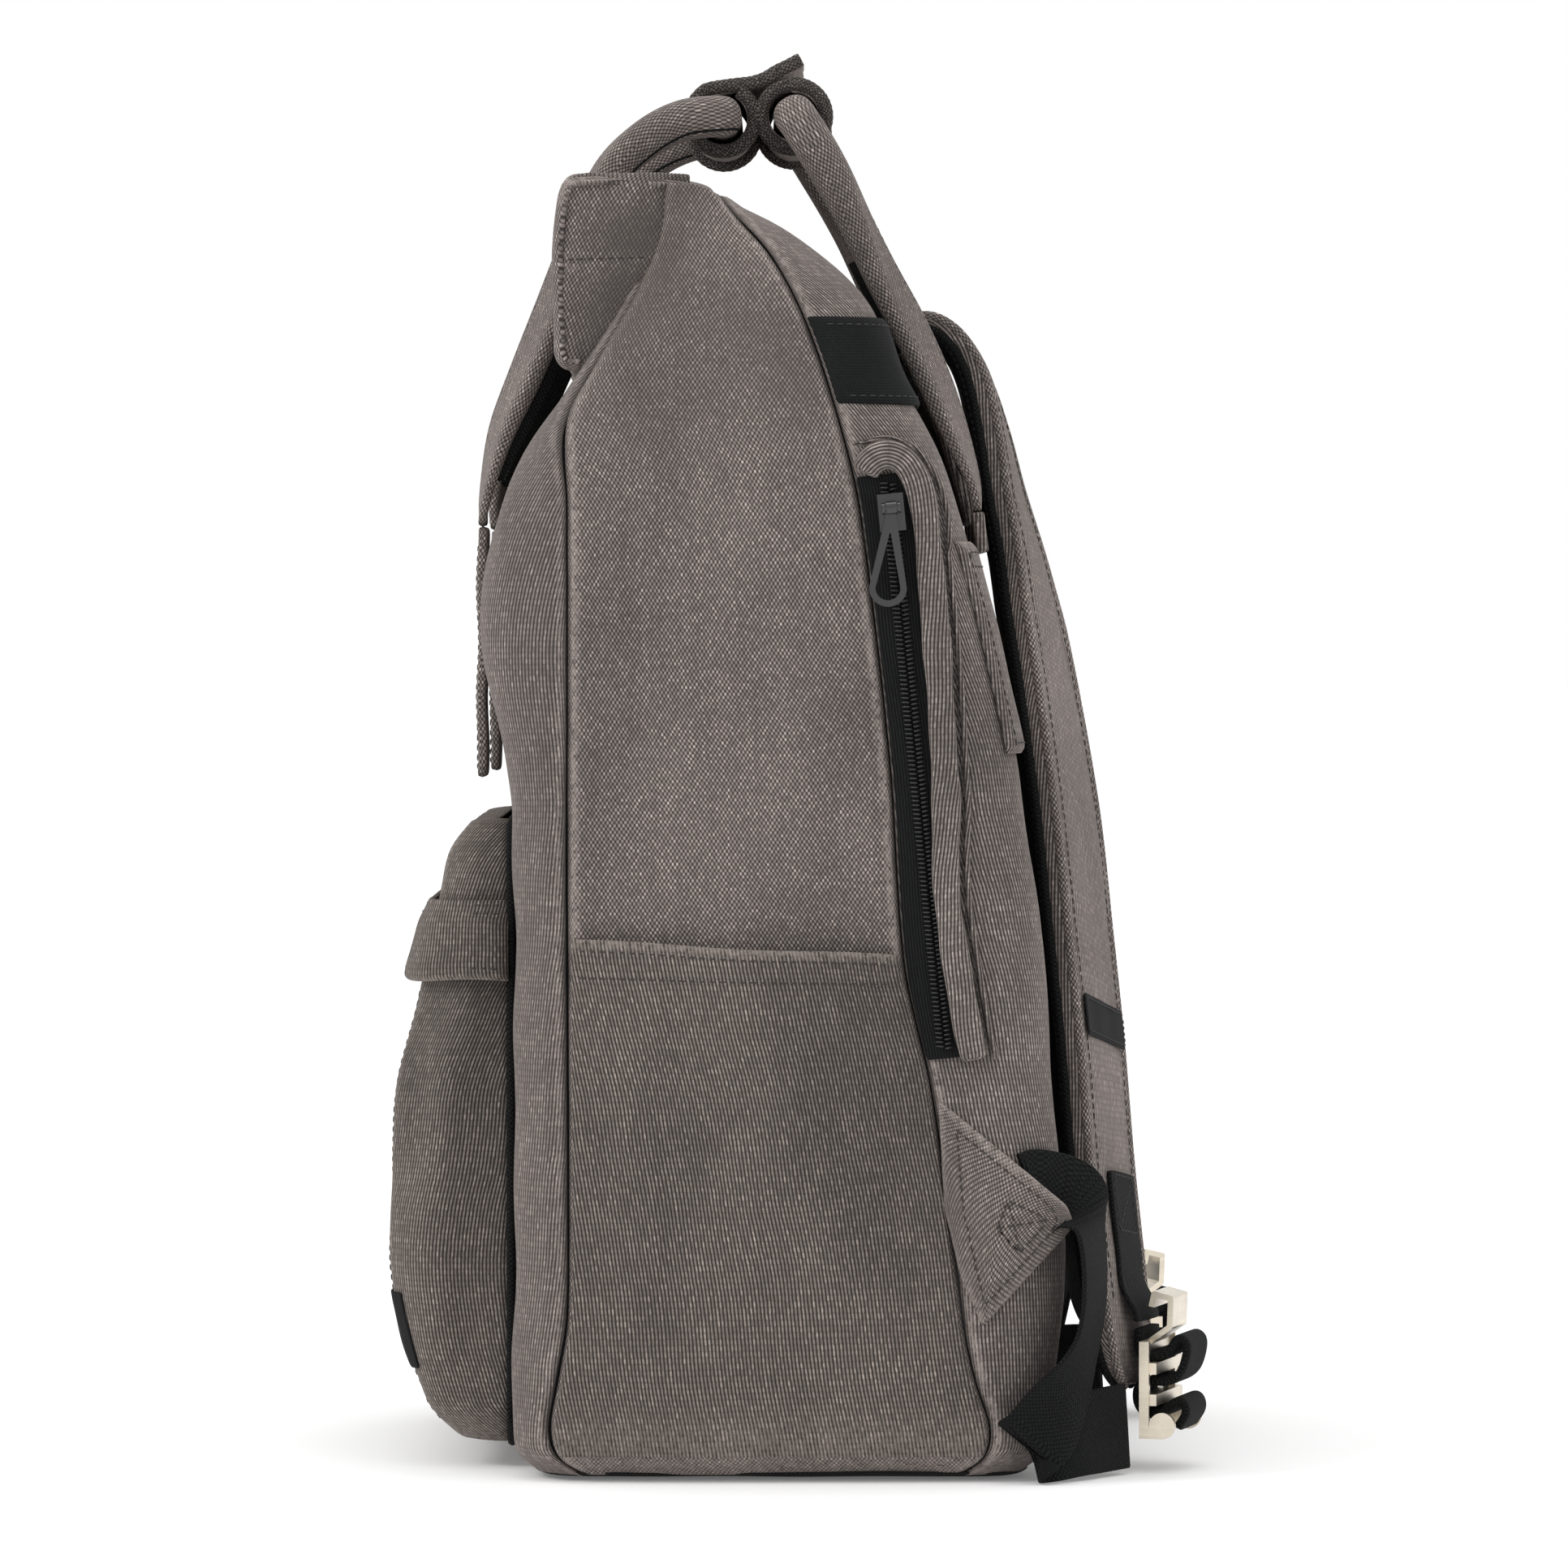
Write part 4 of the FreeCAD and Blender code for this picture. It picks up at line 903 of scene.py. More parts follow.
END_SHARES = [0, 0.02, 0.05, 0.09, 0.14, 0.2, 0.27, 0.35, 0.43, 0.51, 0.6, 0.7, 0.8, 0.9, 1]
end_heights = [386.4, 387.2, 389] + [392 + 3.3 * n for n in range(18)] + [451.4, 453.2, 454.2]
roll_lines = []
for mirror in (1, -1):
    rows = [[roll_side(share, z, mirror) for share in END_SHARES] for z in end_heights]
    # painted shade on the roll's end: darker below the fold and towards the back, where it sits recessed behind
    # the side panel; paler at its hem and its cross seam
    end = grid_mesh("roll top end", rows, wear_and_shade=lambda i, j: (
        0.9 * (1 - smooth(0, 2.5, i)) + 0.5 * clamp(1 - abs(end_heights[j] - 423) / 5)
        - 0.95 * smooth(0.05, 0.6, END_SHARES[i]) * (1 - smooth(434, 452, end_heights[j]))
        - 0.35 * smooth(0.75, 0.95, END_SHARES[i])))
    if mirror < 0:
        flip(end)
    cloth(end, "roll_top", canvas, [], 1.3)

    def this_end(share, z):
        return roll_side(share / 100, z, mirror)
    for start, finish, count in (((7.5, 388), (7.5, 453), 20), ((10.5, 424), (80, 425), 16)):
        roll_lines.append(line_on(this_end, between(start, finish, count), RIGHT * mirror))
for row, outward in ((6.6, FORWARD), (9, FORWARD), (46, UP)):
    roll_lines.append(line_on(roll_surface, between((-118, row), (118, row), 60), outward))
stitch_rows("roll top stitching", roll_lines, "roll_top", stand=-0.35)

# ---------------------------------------------------------------- front pocket
POCKET_BACK = -93.4
POCKET_LOW, POCKET_HIGH = 10, 228
# Height, half width and front.
POCKET = [
    (10, 100, -112), (22, 106, -124), (50, 108, -133), (90, 108, -137), (130, 108, -135),
    (165, 107, -127), (205, 106, -119), (218, 104, -116), (228, 101, -108),
]
FACE_HALF = 88


def pocket_corner(front):
    return max(min(20, (POCKET_BACK - front) * 0.7), 1)


def pocket_plan(hx, front, share, stand_off=0):
    """Point of the pocket's U-shaped plan, its outward direction and its distance from the rear seam."""
    r = pocket_corner(front) + stand_off
    hx, front = hx + stand_off, front - stand_off
    straight = max(POCKET_BACK - front - r, 0)
    bend = r * pi / 2
    side = 1 if share >= 0 else -1
    s = (1 - abs(share)) * (straight + bend + hx - r)
    if s < straight:
        return side * hx, POCKET_BACK - s, side, 0, s
    if s < straight + bend:
        angle = (s - straight) / r
        return side * (hx - r + r * cos(angle)), front + r - r * sin(angle), side * cos(angle), -sin(angle), s
    return side * (hx - r - (s - straight - bend)), front, 0, -1, s


def pocket_surface(share, z):
    hx, front = table_at(POCKET, clamp(z, POCKET_LOW, POCKET_HIGH))
    close = clamp(1 - max(POCKET_LOW - z, z - POCKET_HIGH, 0) / 1.6)
    front = POCKET_BACK - 1 + (front - POCKET_BACK + 1) * close
    hx -= 5 * (1 - close)
    x, y, nx, ny, s = pocket_plan(hx, front, share)
    place = at(x, y, z)
    on_side = abs(nx)
    lift = creases(place, (0.07, 51, 2.1), (0.028, 17, 1.2), (0.011, 9, 0.3))
    # slack cloth sags into shallow folds towards the lower corners
    sag = sin((z * 0.9 - abs(x) * 0.5) / 13 + rumple(place, 0.05, 4))
    lift += 1.1 * sag * (1 - smooth(90, 150, z)) * smooth(12, 30, z)
    gather = sin(s / 5.2 + z / 34 + rumple(place, 0.04, 6) * 1.4)
    lift += on_side * 2.1 * gather * smooth(3, 12, s) * (0.5 + 0.5 * smooth(60, 160, z))
    lift *= smooth(0, 14, s) * (1 - 0.7 * smooth(166, 176, z))
    lift -= 0.8
    from_face = abs(abs(x) - FACE_HALF) if on_side < 0.9 else 30
    lift -= 0.9 * exp(-(from_face / 1.3) ** 2)
    lift += 0.6 * exp(-((from_face - 4.5) / 2.6) ** 2)
    lift += 0.5 * sin(z / 3.6 + share) * exp(-s / 6)
    lift -= 1.5 * (1 - smooth(0, 2.5, s))
    lift *= close
    return at(x + nx * lift, y + ny * lift, clamp(z, 9.4, 229))


def pocket_share(z, x, stand_off=0):
    """Share across the U for a distance from the middle of the face."""
    hx, front = table_at(POCKET, clamp(z, POCKET_LOW, POCKET_HIGH))
    r = pocket_corner(front)
    return x / (max(POCKET_BACK - front - r, 0) + (r + stand_off) * pi / 2 + hx - r)


# the zip's window between the pocket's face and its top
WINDOW_HALF, WINDOW_LOW, WINDOW_HIGH = 87, 179.4, 190.6
pocket_heights = [8.4, 8.9, 9.4, 10, 11.5, 14, 18, 22] + [26 + 4.8 * n for n in range(32)]
pocket_heights = [z for z in pocket_heights if z < 177]
pocket_heights += [WINDOW_LOW, 185, WINDOW_HIGH, 194, 199, 204, 209, 213.5, 218, 222, 225, 227, 228]
pocket_heights += [228.6, 229.2]
half_columns = [pocket_share(110, x) for x in steps(0, FACE_HALF, 4.9)]
half_columns += [half_columns[-1] + (1 - half_columns[-1]) * n / 15 for n in range(1, 12)]
half_columns += [1 - e for e in (0.045, 0.03, 0.018, 0.009, 0)]
pocket_columns = [c for c in reversed(half_columns[1:])] + [-c for c in half_columns]
rows = [[pocket_surface(c, z) for c in pocket_columns] for z in pocket_heights]
pocket = grid_mesh("front pocket", rows, wear_and_shade=lambda i, j: (
    0.8 * clamp(1 - abs(abs(rows[j][i].x) / MM - 90.5) / 4) + 0.4 * (1 - smooth(8, 26, pocket_heights[j]))))
edit = bmesh.new()
edit.from_mesh(pocket.data)
window = []
for face in edit.faces:
    centre = face.calc_center_median() / MM
    if abs(centre.x) < WINDOW_HALF and WINDOW_LOW < centre.z < WINDOW_HIGH and centre.y < -110:
        window.append(face)
bmesh.ops.delete(edit, geom=window, context="FACES")
edit.to_mesh(pocket.data)
edit.free()
flip(pocket)
cloth(pocket, "bag", canvas_pocket, ["pocket_face", "pocket_top", "pocket_gusset"], 1.3)

pocket_lines = []
for mirror in (1, -1):
    for from_seam in (3, 6):
        heights = [16 + 5.5 * n for n in range(29)]
        pairs = [(mirror * pocket_share(z, FACE_HALF - from_seam), z) for z in heights]
        pocket_lines.append(line_on(pocket_surface, pairs, FORWARD, 0.01))
for z in (176.6, 194):
    pairs = [(pocket_share(z, -86 + 4.3 * n), z) for n in range(41)]
    pocket_lines.append(line_on(pocket_surface, pairs, FORWARD, 0.01))
stitch_rows("pocket stitching", pocket_lines, "bag", stand=-0.45)

# Height and stand-off of the storm flap over the pocket.
FLAP_ROWS = [(172, 5.6), (178, 5.6), (186, 5.3), (193, 4.8), (197, 3.6), (200.6, 2.6)]


def flap_surface(share, z):
    stand_off = table_at(FLAP_ROWS, z)[0]
    hx, front = table_at(POCKET, z)
    x, y, nx, ny, s = pocket_plan(hx, front, share, stand_off)
    place = at(x, y, z)
    slack = 1 - smooth(192, 199, z)
    lift = creases(place, (0.045, 61, 0.9 * slack), (0.014, 7, 0.3))
    lift += slack * abs(nx) * (0.9 * sin(s / 4.3) + 0.5)
    lift += 0.5 * (1 - smooth(178.5, 180, z)) - 1.2 * (1 - smooth(172, 173, z))
    lift -= 0.8 * (1 - smooth(0, 3, s)) * 1.5
    return at(x + nx * lift, y + ny * lift, z + slack * 0.7 * sin(s / 9) * abs(nx))


def flap_share(z, x):
    return pocket_share(z, x, table_at(FLAP_ROWS, z)[0])


flap_heights = [171.8, 172.2, 173.2, 175, 177.2, 179.2, 181.5, 184.5, 187.5, 190.5, 193.5, 196, 198.2]
flap_heights += [199.8, 200.6]
flap_x = steps(-87.8, 87.8, 5, (0.8, 2, 4))
flap = grid_mesh("pocket flap", [[flap_surface(-flap_share(z, x), z) for x in flap_x] for z in flap_heights],
                 wear_and_shade=lambda i, j: 0.8 * (1 - smooth(0, 3, j)))
flip(flap)
cloth(flap, "pocket_flap", canvas_pocket, ["pocket_flap"], 1.7)
FLAP_SEAMS = (176, 195.5, 198.6)
flap_lines = []
for z in FLAP_SEAMS:
    pairs = [(flap_share(z, -84 + 4.2 * n), z) for n in range(41)]
    flap_lines.append(line_on(flap_surface, pairs, FORWARD, 0.01))
stitch_rows("pocket flap stitching", flap_lines, "pocket_flap")
side_lines = []
for side, mirror in SIDES:
    rows = []
    for z in flap_heights:
        start = flap_share(z, 88.4)
        rows.append([flap_surface(mirror * (start + (1 - start) * n / 15), z) for n in range(16)])
    end = grid_mesh("pocket flap end " + side, rows, wear_and_shade=lambda i, j: 0.8 * (1 - smooth(0, 3, j)))
    if mirror < 0:
        flip(end)
    cloth(end, "bag", canvas_pocket, ["pocket_flap_side_" + side], 1.7)
    for z in FLAP_SEAMS:
        pairs = [(mirror * (0.9 + 0.095 * n / 14), z) for n in range(15)]
        side_lines.append(line_on(flap_surface, pairs, RIGHT * mirror, 0.01))
stitch_rows("pocket flap end stitching", side_lines, "bag")


def tube(name, path, radius):
    """A round cord along a path."""
    ring = [(radius * cos(k * pi / 4), radius * sin(k * pi / 4)) for k in range(8)]

    def across(n):
        ahead = path[min(n + 1, len(path) - 1)] - path[max(n - 1, 0)]
        side = ahead.cross(Vector((0.31, 0.17, 0.94)))
        return side if side.length > 1e-6 else ahead.cross(RIGHT)
    return sweep(name, path, across, lambda n: ring)


frame_points = []
for cx, cz, start in ((94, 213, 0), (-94, 213, 90), (-94, 24, 180), (94, 24, 270)):
    for n in range(9):
        angle = radians(start + 90 * n / 8)
        frame_points.append(at(cx + 15 * cos(angle), -93.2, cz + 15 * sin(angle)))
frame_points.append(frame_points[0])
piping = tube("pocket piping", resample(frame_points, 200), 1.6 * MM)
piece(piping, "bag", webbing, ["pocket_piping"])

# ---------------------------------------------------------------- side slip pockets
# Height and bulge of the side pocket.
SIDE_POCKET = [(10, 2), (60, 6.4), (130, 8.2), (187, 7.4)]


def slip_surface(share, z, mirror):
    """Side pocket: share runs from its front seam to its back seam."""
    front, back = seam_y(FRONT_SEAM, z) + 1.2, seam_y(BACK_SEAM, z) - 1.2
    y = front + (back - front) * share
    edge = min(y - front, back - y)
    place = at(60 * mirror, y, z)
    bulge = table_at(SIDE_POCKET, z)[0] * (1 - (2 * share - 1) ** 2)
    lift = creases(place, (0.06, 71, 1.1), (0.024, 23, 0.6), (0.01, 3, 0.15))
    sag = sin((z - y * 0.7) / 15 + rumple(place, 0.06, 5))
    lift += 0.9 * sag * smooth(30, 70, z) * (1 - smooth(150, 172, z))
    lift *= smooth(0, 18, edge)
    lift += pucker(edge, z, 5) * 0.8 - 0.6 * (1 - smooth(0, 1.6, edge))
    lift += 0.8 * smooth(172.5, 174.5, z)
    top = -5.5 * share * smooth(165, 187, z) + 0.4 * sin(share * 9) * smooth(170, 187, z)
    low = -1.4 * (1 - smooth(9, 14, z))
    return at((HALF + 2.1 + bulge + lift + low) * mirror, y, z + top + 1 * smooth(170, 187, z))


slip_heights = [9, 9.8, 11, 13, 16] + [20 + 4.9 * n for n in range(31)]
slip_heights += [171.5, 173, 174.6, 177, 180, 183, 185.4, 186.8, 187.4]
slip_shares = [0, 0.006, 0.013, 0.024, 0.04] + [0.065 + 0.87 * n / 24 for n in range(25)]
slip_shares += [0.96, 0.976, 0.987, 0.994, 1]
slip_lines = []
for side, mirror in SIDES:
    rows = [[slip_surface(share, z, mirror) for share in slip_shares] for z in slip_heights]
    slip = grid_mesh("side pocket " + side, rows, wear_and_shade=lambda i, j: (
        0.9 * smooth(184, 187, slip_heights[j]) + 0.3 * (1 - smooth(12, 30, slip_heights[j]))))
    if mirror < 0:
        flip(slip)
    cloth(slip, "bag", canvas_pocket, ["side_pocket_" + side], 1.4)

    def this_slip(share, z):
        return slip_surface(share / 100, z, mirror)
    for z in (174.8, 183.4):
        slip_lines.append(line_on(this_slip, between((2.5, z), (97.5, z), 30), RIGHT * mirror))
stitch_rows("side pocket stitching", slip_lines, "bag")

# ---------------------------------------------------------------- side zip
def zip_point(across, z, out):
    """A point beside the line of the zip."""
    return at(HALF + out, zip_y(z) + across, z + across * ZIP_SLOPE)


tape_rows = []
for n in range(60):
    z = ZIP_LOW - 3 + (ZIP_HIGH - ZIP_LOW + 6) * n / 59
    from_seam = zip_y(z) - seam_y(BACK_SEAM, z) - 0.8
    lefts = [-from_seam, -from_seam + 1.2, -from_seam * 0.7, -from_seam * 0.45, -2.4, -0.5]
    tape_rows.append([zip_point(a, z, 0.9 + 0.12 * sin(z / 7 + a)) for a in lefts + [0.5, 2.4, 4.5, 6.8, 9]])
zip_tape = grid_mesh("side zip tape", tape_rows)
cloth(zip_tape, "bag", tape, ["side_zip_tape"], 0.6)


COIL_PITCH = 1.55


def coil_mesh(name, centre, across, along, out, length):
    """Both rows of nylon coil: every tooth is a bent filament that grips its neighbours."""
    verts, faces = [], []
    bend = ((3, -0.1), (2.4, 0.55), (1.3, 0.95), (0.35, 0.7), (0.05, 0.1), (0.35, -0.35), (1.3, -0.5))
    for n in range(int(length / (COIL_PITCH * MM))):
        for side in (1, -1):
            start = centre + along * ((n + (0.5 if side < 0 else 0)) * COIL_PITCH * MM)
            first = len(verts)
            for k, (a, o) in enumerate(bend):
                middle = start + (across * (a * side) + out * o + along * (0.1 * k)) * MM
                for c in range(5):
                    angle = 2 * pi * c / 5
                    verts.append(middle + (along * cos(angle) + out * sin(angle)) * (0.36 * MM))
            for k in range(len(bend) - 1):
                for c in range(5):
                    p, q = first + k * 5 + c, first + k * 5 + (c + 1) % 5
                    faces.append((p, q, q + 5, p + 5) if side > 0 else (p, p + 5, q + 5, q))
    return mesh_object(name, verts, faces)


down = zip_point(0, ZIP_LOW, 0) - zip_point(0, ZIP_HIGH, 0)
ahead = down.normalized()
coil = coil_mesh("side zip coil", zip_point(0, ZIP_HIGH, 1.6), ahead.cross(RIGHT), ahead, RIGHT, down.length)
piece(coil, "bag", nylon, ["side_zip_coil"])

# (Y, Z) of the rolled cloth edge behind the zip, from its turned top down to its lower end.
PLACKET = [
    (30, 349), (33, 353.6), (38.5, 355.6), (45, 352), (50, 341), (52.6, 320), (55.2, 290), (57, 262),
    (58.4, 236), (58.2, 218), (58.6, 204), (60.4, 190), (62.8, 175), (65.4, 160), (68.2, 146.5),
]
placket_line = curve_through([at(HALF + 3.2, y, z) for y, z in PLACKET], 110)


def placket_section(n):
    swell = 1 + 0.05 * sin(n * 0.21) + 0.04 * sin(n * 0.5)
    return [(a * MM * swell, o * MM) for a, o in rounded_bar(9.6, 4.2, 1.3, 2.05)]


def placket_across(n):
    return RIGHT.cross(placket_line[min(n + 1, 109)] - placket_line[max(n - 1, 0)])


placket = sweep("side zip placket", placket_line, placket_across, placket_section)
soft(placket, "bag", canvas_rib, ["side_zip_placket"])


def strip_surface(d, z):
    """The back panel's strip behind the right side panel, by distance from their seam."""
    profile = face_profile(z, BACK_SEAM, 1)
    k, share = locate([row[2] for row in profile], d)
    x, y, _, nx, ny = row_between(profile[k], profile[k + 1], share)
    return at(x + nx * 0.4, y + ny * 0.4, z)


# the stitched ridge round the placket
seam_line = [(28, 359), (38, 361.5), (47, 358.5), (54, 350), (58.6, 338)]
seam_line += [(y + 7.6, z) for y, z in PLACKET[5:]]
line = upright_curve(seam_line, 110)
cord_line = [strip_surface(p.y - seam_y(BACK_SEAM, p.z), p.z) for p in line]
cord_line = [Vector((p.x, line[n].y * MM, p.z)) if line[n].y < 60 else p for n, p in enumerate(cord_line)]
soft(tube("side zip ridge", cord_line, 1.1 * MM), "bag", canvas_rib)
stitch_line = [p + Vector((0.9, -1.7, 0)) * MM for p in cord_line]
stitch_rows("side zip stitching", [(stitch_line, [RIGHT] * len(stitch_line))], "bag")

# pocket zip, seen when the storm flap is lifted
pocket_out = Vector((0, -1, 0.2)).normalized()
pocket_up = RIGHT.cross(pocket_out) * -1
tape_low, tape_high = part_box("pocket_zip_tape")
tape_centre = (tape_low + tape_high) / 2
rows = []
for a in (-7.8, -5, -2.4, -0.6, 0.6, 2.4, 5, 7.8):
    rows.append([tape_centre + RIGHT * (x * MM) + pocket_up * (a * MM) for x in range(-84, 85, 4)])
pocket_tape = grid_mesh("pocket zip tape", rows)
flip(pocket_tape)
cloth(pocket_tape, "bag", tape, ["pocket_zip_tape"], 0.6)
coil_start = tape_centre + pocket_out * (0.9 * MM) - RIGHT * (84 * MM)
coil = coil_mesh("pocket zip coil", coil_start, pocket_up, RIGHT, pocket_out, 168 * MM)
piece(coil, "bag", nylon, ["pocket_zip_coil"])

# ---------------------------------------------------------------- handles
# (Y, Z) of each handle's middle line, from its sewn end up to the grip.
FRONT_PATH = [(-104.2, 331.5), (-103.5, 342), (-98, 364), (-89.5, 384), (-79.5, 408), (-69.5, 434),
              (-59.5, 456), (-47, 468), (-34, 475), (-19.5, 477.5)]
BACK_PATH = [(71, 336), (69.5, 347), (62.5, 366), (53.5, 388), (45.5, 405), (36, 423), (20, 455), (6, 478.3)]
# X of the legs, the bend's radius up to the grip, and how much fuller the rolled part is than its solid.
HANDLE_X, TURN, ROLLED = 64.5, 14, 1.24


def handle_stations(path):
    """(centre, across, width, thickness) from the right anchor over the grip to the left anchor."""
    line = upright_curve(path, 80)
    run = run_lengths(line)
    total = run[-1]
    half = []
    marks = [((total - TURN) * n / 50, 0) for n in range(51)]
    for n in range(1, 15):
        angle = n / 14 * pi / 2
        marks.append((total - TURN + TURN * sin(angle), angle))
    for s, angle in marks:
        k, share = locate(run, s)
        p = line[k].lerp(line[k + 1], share)
        step = (line[k + 1] - line[k]).normalized()
        x = HANDLE_X - TURN * (1 - cos(angle))
        gathered, rolled = smooth(0, 55, s), smooth(70, total - TURN, s)
        width = 25 - 3 * gathered - 8 * rolled
        thick = 3.4 + 2.4 * gathered + 5.2 * rolled
        turn = radians(27) * sin(pi * clamp(s / (total - TURN)))
        to_bag = RIGHT.cross(step) * (1 if path[0][0] < 0 else -1)
        across = RIGHT * (cos(angle) * cos(turn)) + step * sin(angle) - to_bag * sin(turn)
        half.append((Vector((x, p.y, p.z)), across, width, thick))
    last = half[-1]
    for n in range(1, 13):
        x = (HANDLE_X - TURN) * (1 - n / 12)
        half.append((Vector((x, last[0].y, last[0].z)), step.copy(), 14, 11))
    flip_x = Vector((-1, 1, 1))
    return half + [(c * flip_x, a * flip_x, w, t) for c, a, w, t in reversed(half[:-1])]


def strap_piece(name, stations, section, sway=0.4):
    """Sweeps a section(width, thickness) along stations given in millimetres, with slight natural wander."""
    path = []
    for n, (centre, across, width, thick) in enumerate(stations):
        ahead = (stations[min(n + 1, len(stations) - 1)][0] - stations[max(n - 1, 0)][0]).normalized()
        out = across.cross(ahead).normalized()
        wander = rumple(centre * MM, 0.05, 81) * sway
        path.append((centre + out * wander) * MM)

    def ring(n):
        return [(a * MM, o * MM) for a, o in section(stations[n][2], stations[n][3])]
    return sweep(name, path, lambda n: stations[n][1], ring)


def fullness(thick):
    return thick * (1 + (ROLLED - 1) * smooth(3.4, 5.8, thick))


def strap_stitches(stations, from_edge, height, skip):
    """Stitch lines along a strap, near its edges, on the side that faces out."""
    lines = []
    picked = stations[skip:len(stations) - skip]
    for side in (1, -1):
        points, normals = [], []
        for n, (centre, across, width, thick) in enumerate(picked):
            ahead = (picked[min(n + 1, len(picked) - 1)][0] - picked[max(n - 1, 0)][0]).normalized()
            edge = (across - ahead * across.dot(ahead)).normalized()
            out = edge.cross(ahead).normalized()
            wander = rumple(centre * MM, 0.05, 81) * 0.4
            full = fullness(thick) * 0.92
            r = full * 0.435
            drop = r - max(r * r - max(r - from_edge, 0) ** 2, 0) ** 0.5
            rise = (full / 2 - drop + 0.2) * height
            points.append((centre + edge * (side * (width / 2 - from_edge)) + out * (rise + wander)) * MM)
            normals.append(out * (1 if height > 0 else -1))
        lines.append((points, normals))
    return lines


def handle_section(width, thick, outward):
    """Rolled canvas: rounded edges, and a fuller face away from the bag."""
    full = fullness(thick) + thick * 0.22 * smooth(8.5, 11, thick)
    return [(a, o + outward * 0.25) for a, o in rounded_bar(width, full * 0.92, 0, full * 0.4, 6)]


def handle_lining(width, thick, outward, depth):
    """Black webbing inside the roll, which stands out of it low down where the roll is open."""
    open_part = smooth(3.6, 5.2, thick) * (1 - smooth(5.9, 8.5, thick))
    deep = 1.9 + (depth - 1.9) * open_part
    ring = rounded_bar(width - (3 if depth > 3 else 9), deep, 0, 0.8, 3)
    return [(a, o - outward * (thick * 0.42 + deep / 2 - 0.9)) for a, o in ring]


for name, path, outward in (("front", FRONT_PATH, 1), ("back", BACK_PATH, -1)):
    stations = handle_stations(path)
    body = name + "_handle"
    upper = strap_piece(name + " handle canvas", stations, lambda w, t: handle_section(w, t, outward))
    soft(upper, body, canvas, [body])
    depth = 5.6 if name == "front" else 1.6
    inner = stations[5:-5]
    under = strap_piece(name + " handle lining", inner, lambda w, t: handle_lining(w, t, outward, depth))
    soft(under, body, webbing)
    stitch_rows(name + " handle stitching", strap_stitches(stations, 3.4, outward, skip=2), body, stand=-0.35)

anchor_lines = []
for side, mirror in SIDES:
    along_x = Vector((mirror, 0, 0))
    stations = [(Vector((HANDLE_X * mirror, -104.3 + 0.35 * sin(n * 0.5), 242.5 + 89.3 * n / 29)), along_x,
                 25 + 0.4 * sin(n * 0.7), 3.3) for n in range(30)]
    patch = strap_piece("front handle patch " + side, stations, lambda w, t: rounded_bar(w, t, 0.3, 1.2))
    soft(patch, "bag", canvas, ["front_handle_anchor_" + side])
    for line, normals in strap_stitches(stations, 2.8, 0, skip=1):
        anchor_lines.append(([p + FORWARD * (1.9 * MM) for p in line], [FORWARD] * len(line)))
    box = [(-9.5, 246), (9.5, 246), (9.5, 266), (-9.5, 266), (-9.5, 246), (9.5, 266)]
    corners = [at(HANDLE_X * mirror + x, -106.25, z) for x, z in box]
    anchor_lines.append((resample(corners, 60), [FORWARD] * 60))
    stations = [(Vector((HANDLE_X * mirror, 72.9 - 1.9 * n / 9, 322 + 15 * n / 9)), along_x, 29, 4.2)
                for n in range(10)]
    patch = strap_piece("back handle patch " + side, stations, lambda w, t: rounded_bar(w, t, 0.2, 1.3))
    soft(patch, "bag", canvas_rib, ["back_handle_anchor_" + side])
    bar = [at(HANDLE_X * mirror + x, 74, 330) for x in (-12, 12)]
    anchor_lines.append((resample(bar, 20), [BACKWARD] * 20))
stitch_rows("handle patch stitching", anchor_lines, "bag", stand=-0.4)


WRAP_ROWS = 90


def wrap_mesh(name, section, body, nodes):
    """A cuff of canvas round the handles, bound with braid at both ends. section is its (Y, Z) line."""
    line = upright_curve(section, WRAP_ROWS)
    outward, rows = [], []
    for n, p in enumerate(line):
        ahead = (line[min(n + 1, WRAP_ROWS - 1)] - line[max(n - 1, 0)]).normalized()
        outward.append(Vector((0, ahead.z, -ahead.y)))
        row = []
        for x in steps(-46.5, 46.5, 4.6, (0.8, 2, 4)):
            place = Vector((x, p.y, p.z))
            lift = rumple(place * MM, 0.022, 91) * 0.5 + 0.25 * sin(x / 6 + n * 0.12)
            row.append((place + outward[n] * lift) * MM)
        rows.append(row)
    cuff = grid_mesh(name, rows, wear_and_shade=lambda i, j: 0.4)
    soft(solidify(cuff, 2 * MM), body, canvas_rib, nodes)

    def ring(n):
        swell = 1 + 0.05 * sin(n * 1.9)
        return [(a * MM * swell, o * MM * swell) for a, o in rounded_bar(5, 5, 0, 2)]
    for side in (1, -1):
        path = resample([(Vector((side * 45.4, p.y, p.z)) - o * 0.6) * MM for p, o in zip(line, outward)], 140)
        soft(sweep(name + " binding", path, lambda n: RIGHT, ring), body, braid)
    rows = []
    for x in (-41, 41):
        rows.append(([(Vector((x, p.y, p.z)) + o * 0.5) * MM for p, o in zip(line, outward)], outward))
    stitch_rows(name + " stitching", rows, body)


def arc(cy, cz, r, start, end, count):
    angles = [radians(start + (end - start) * n / count) for n in range(count + 1)]
    return [(cy + r * cos(angle), cz + r * sin(angle)) for angle in angles]


front_cuff = arc(-19.5, 477.5, 11, 60, -245, 18)
front_cuff += [(-15, 488.9), (-9, 489.6), (-4, 491.2), (0, 493.6), (4.5, 495.8), (9, 498.2)]
wrap_mesh("front wrap", front_cuff, "front_handle", ["front_wrap"])
wrap_mesh("back wrap", arc(6, 478.3, 11, 95, -264, 20), "back_handle", ["back_wrap"])

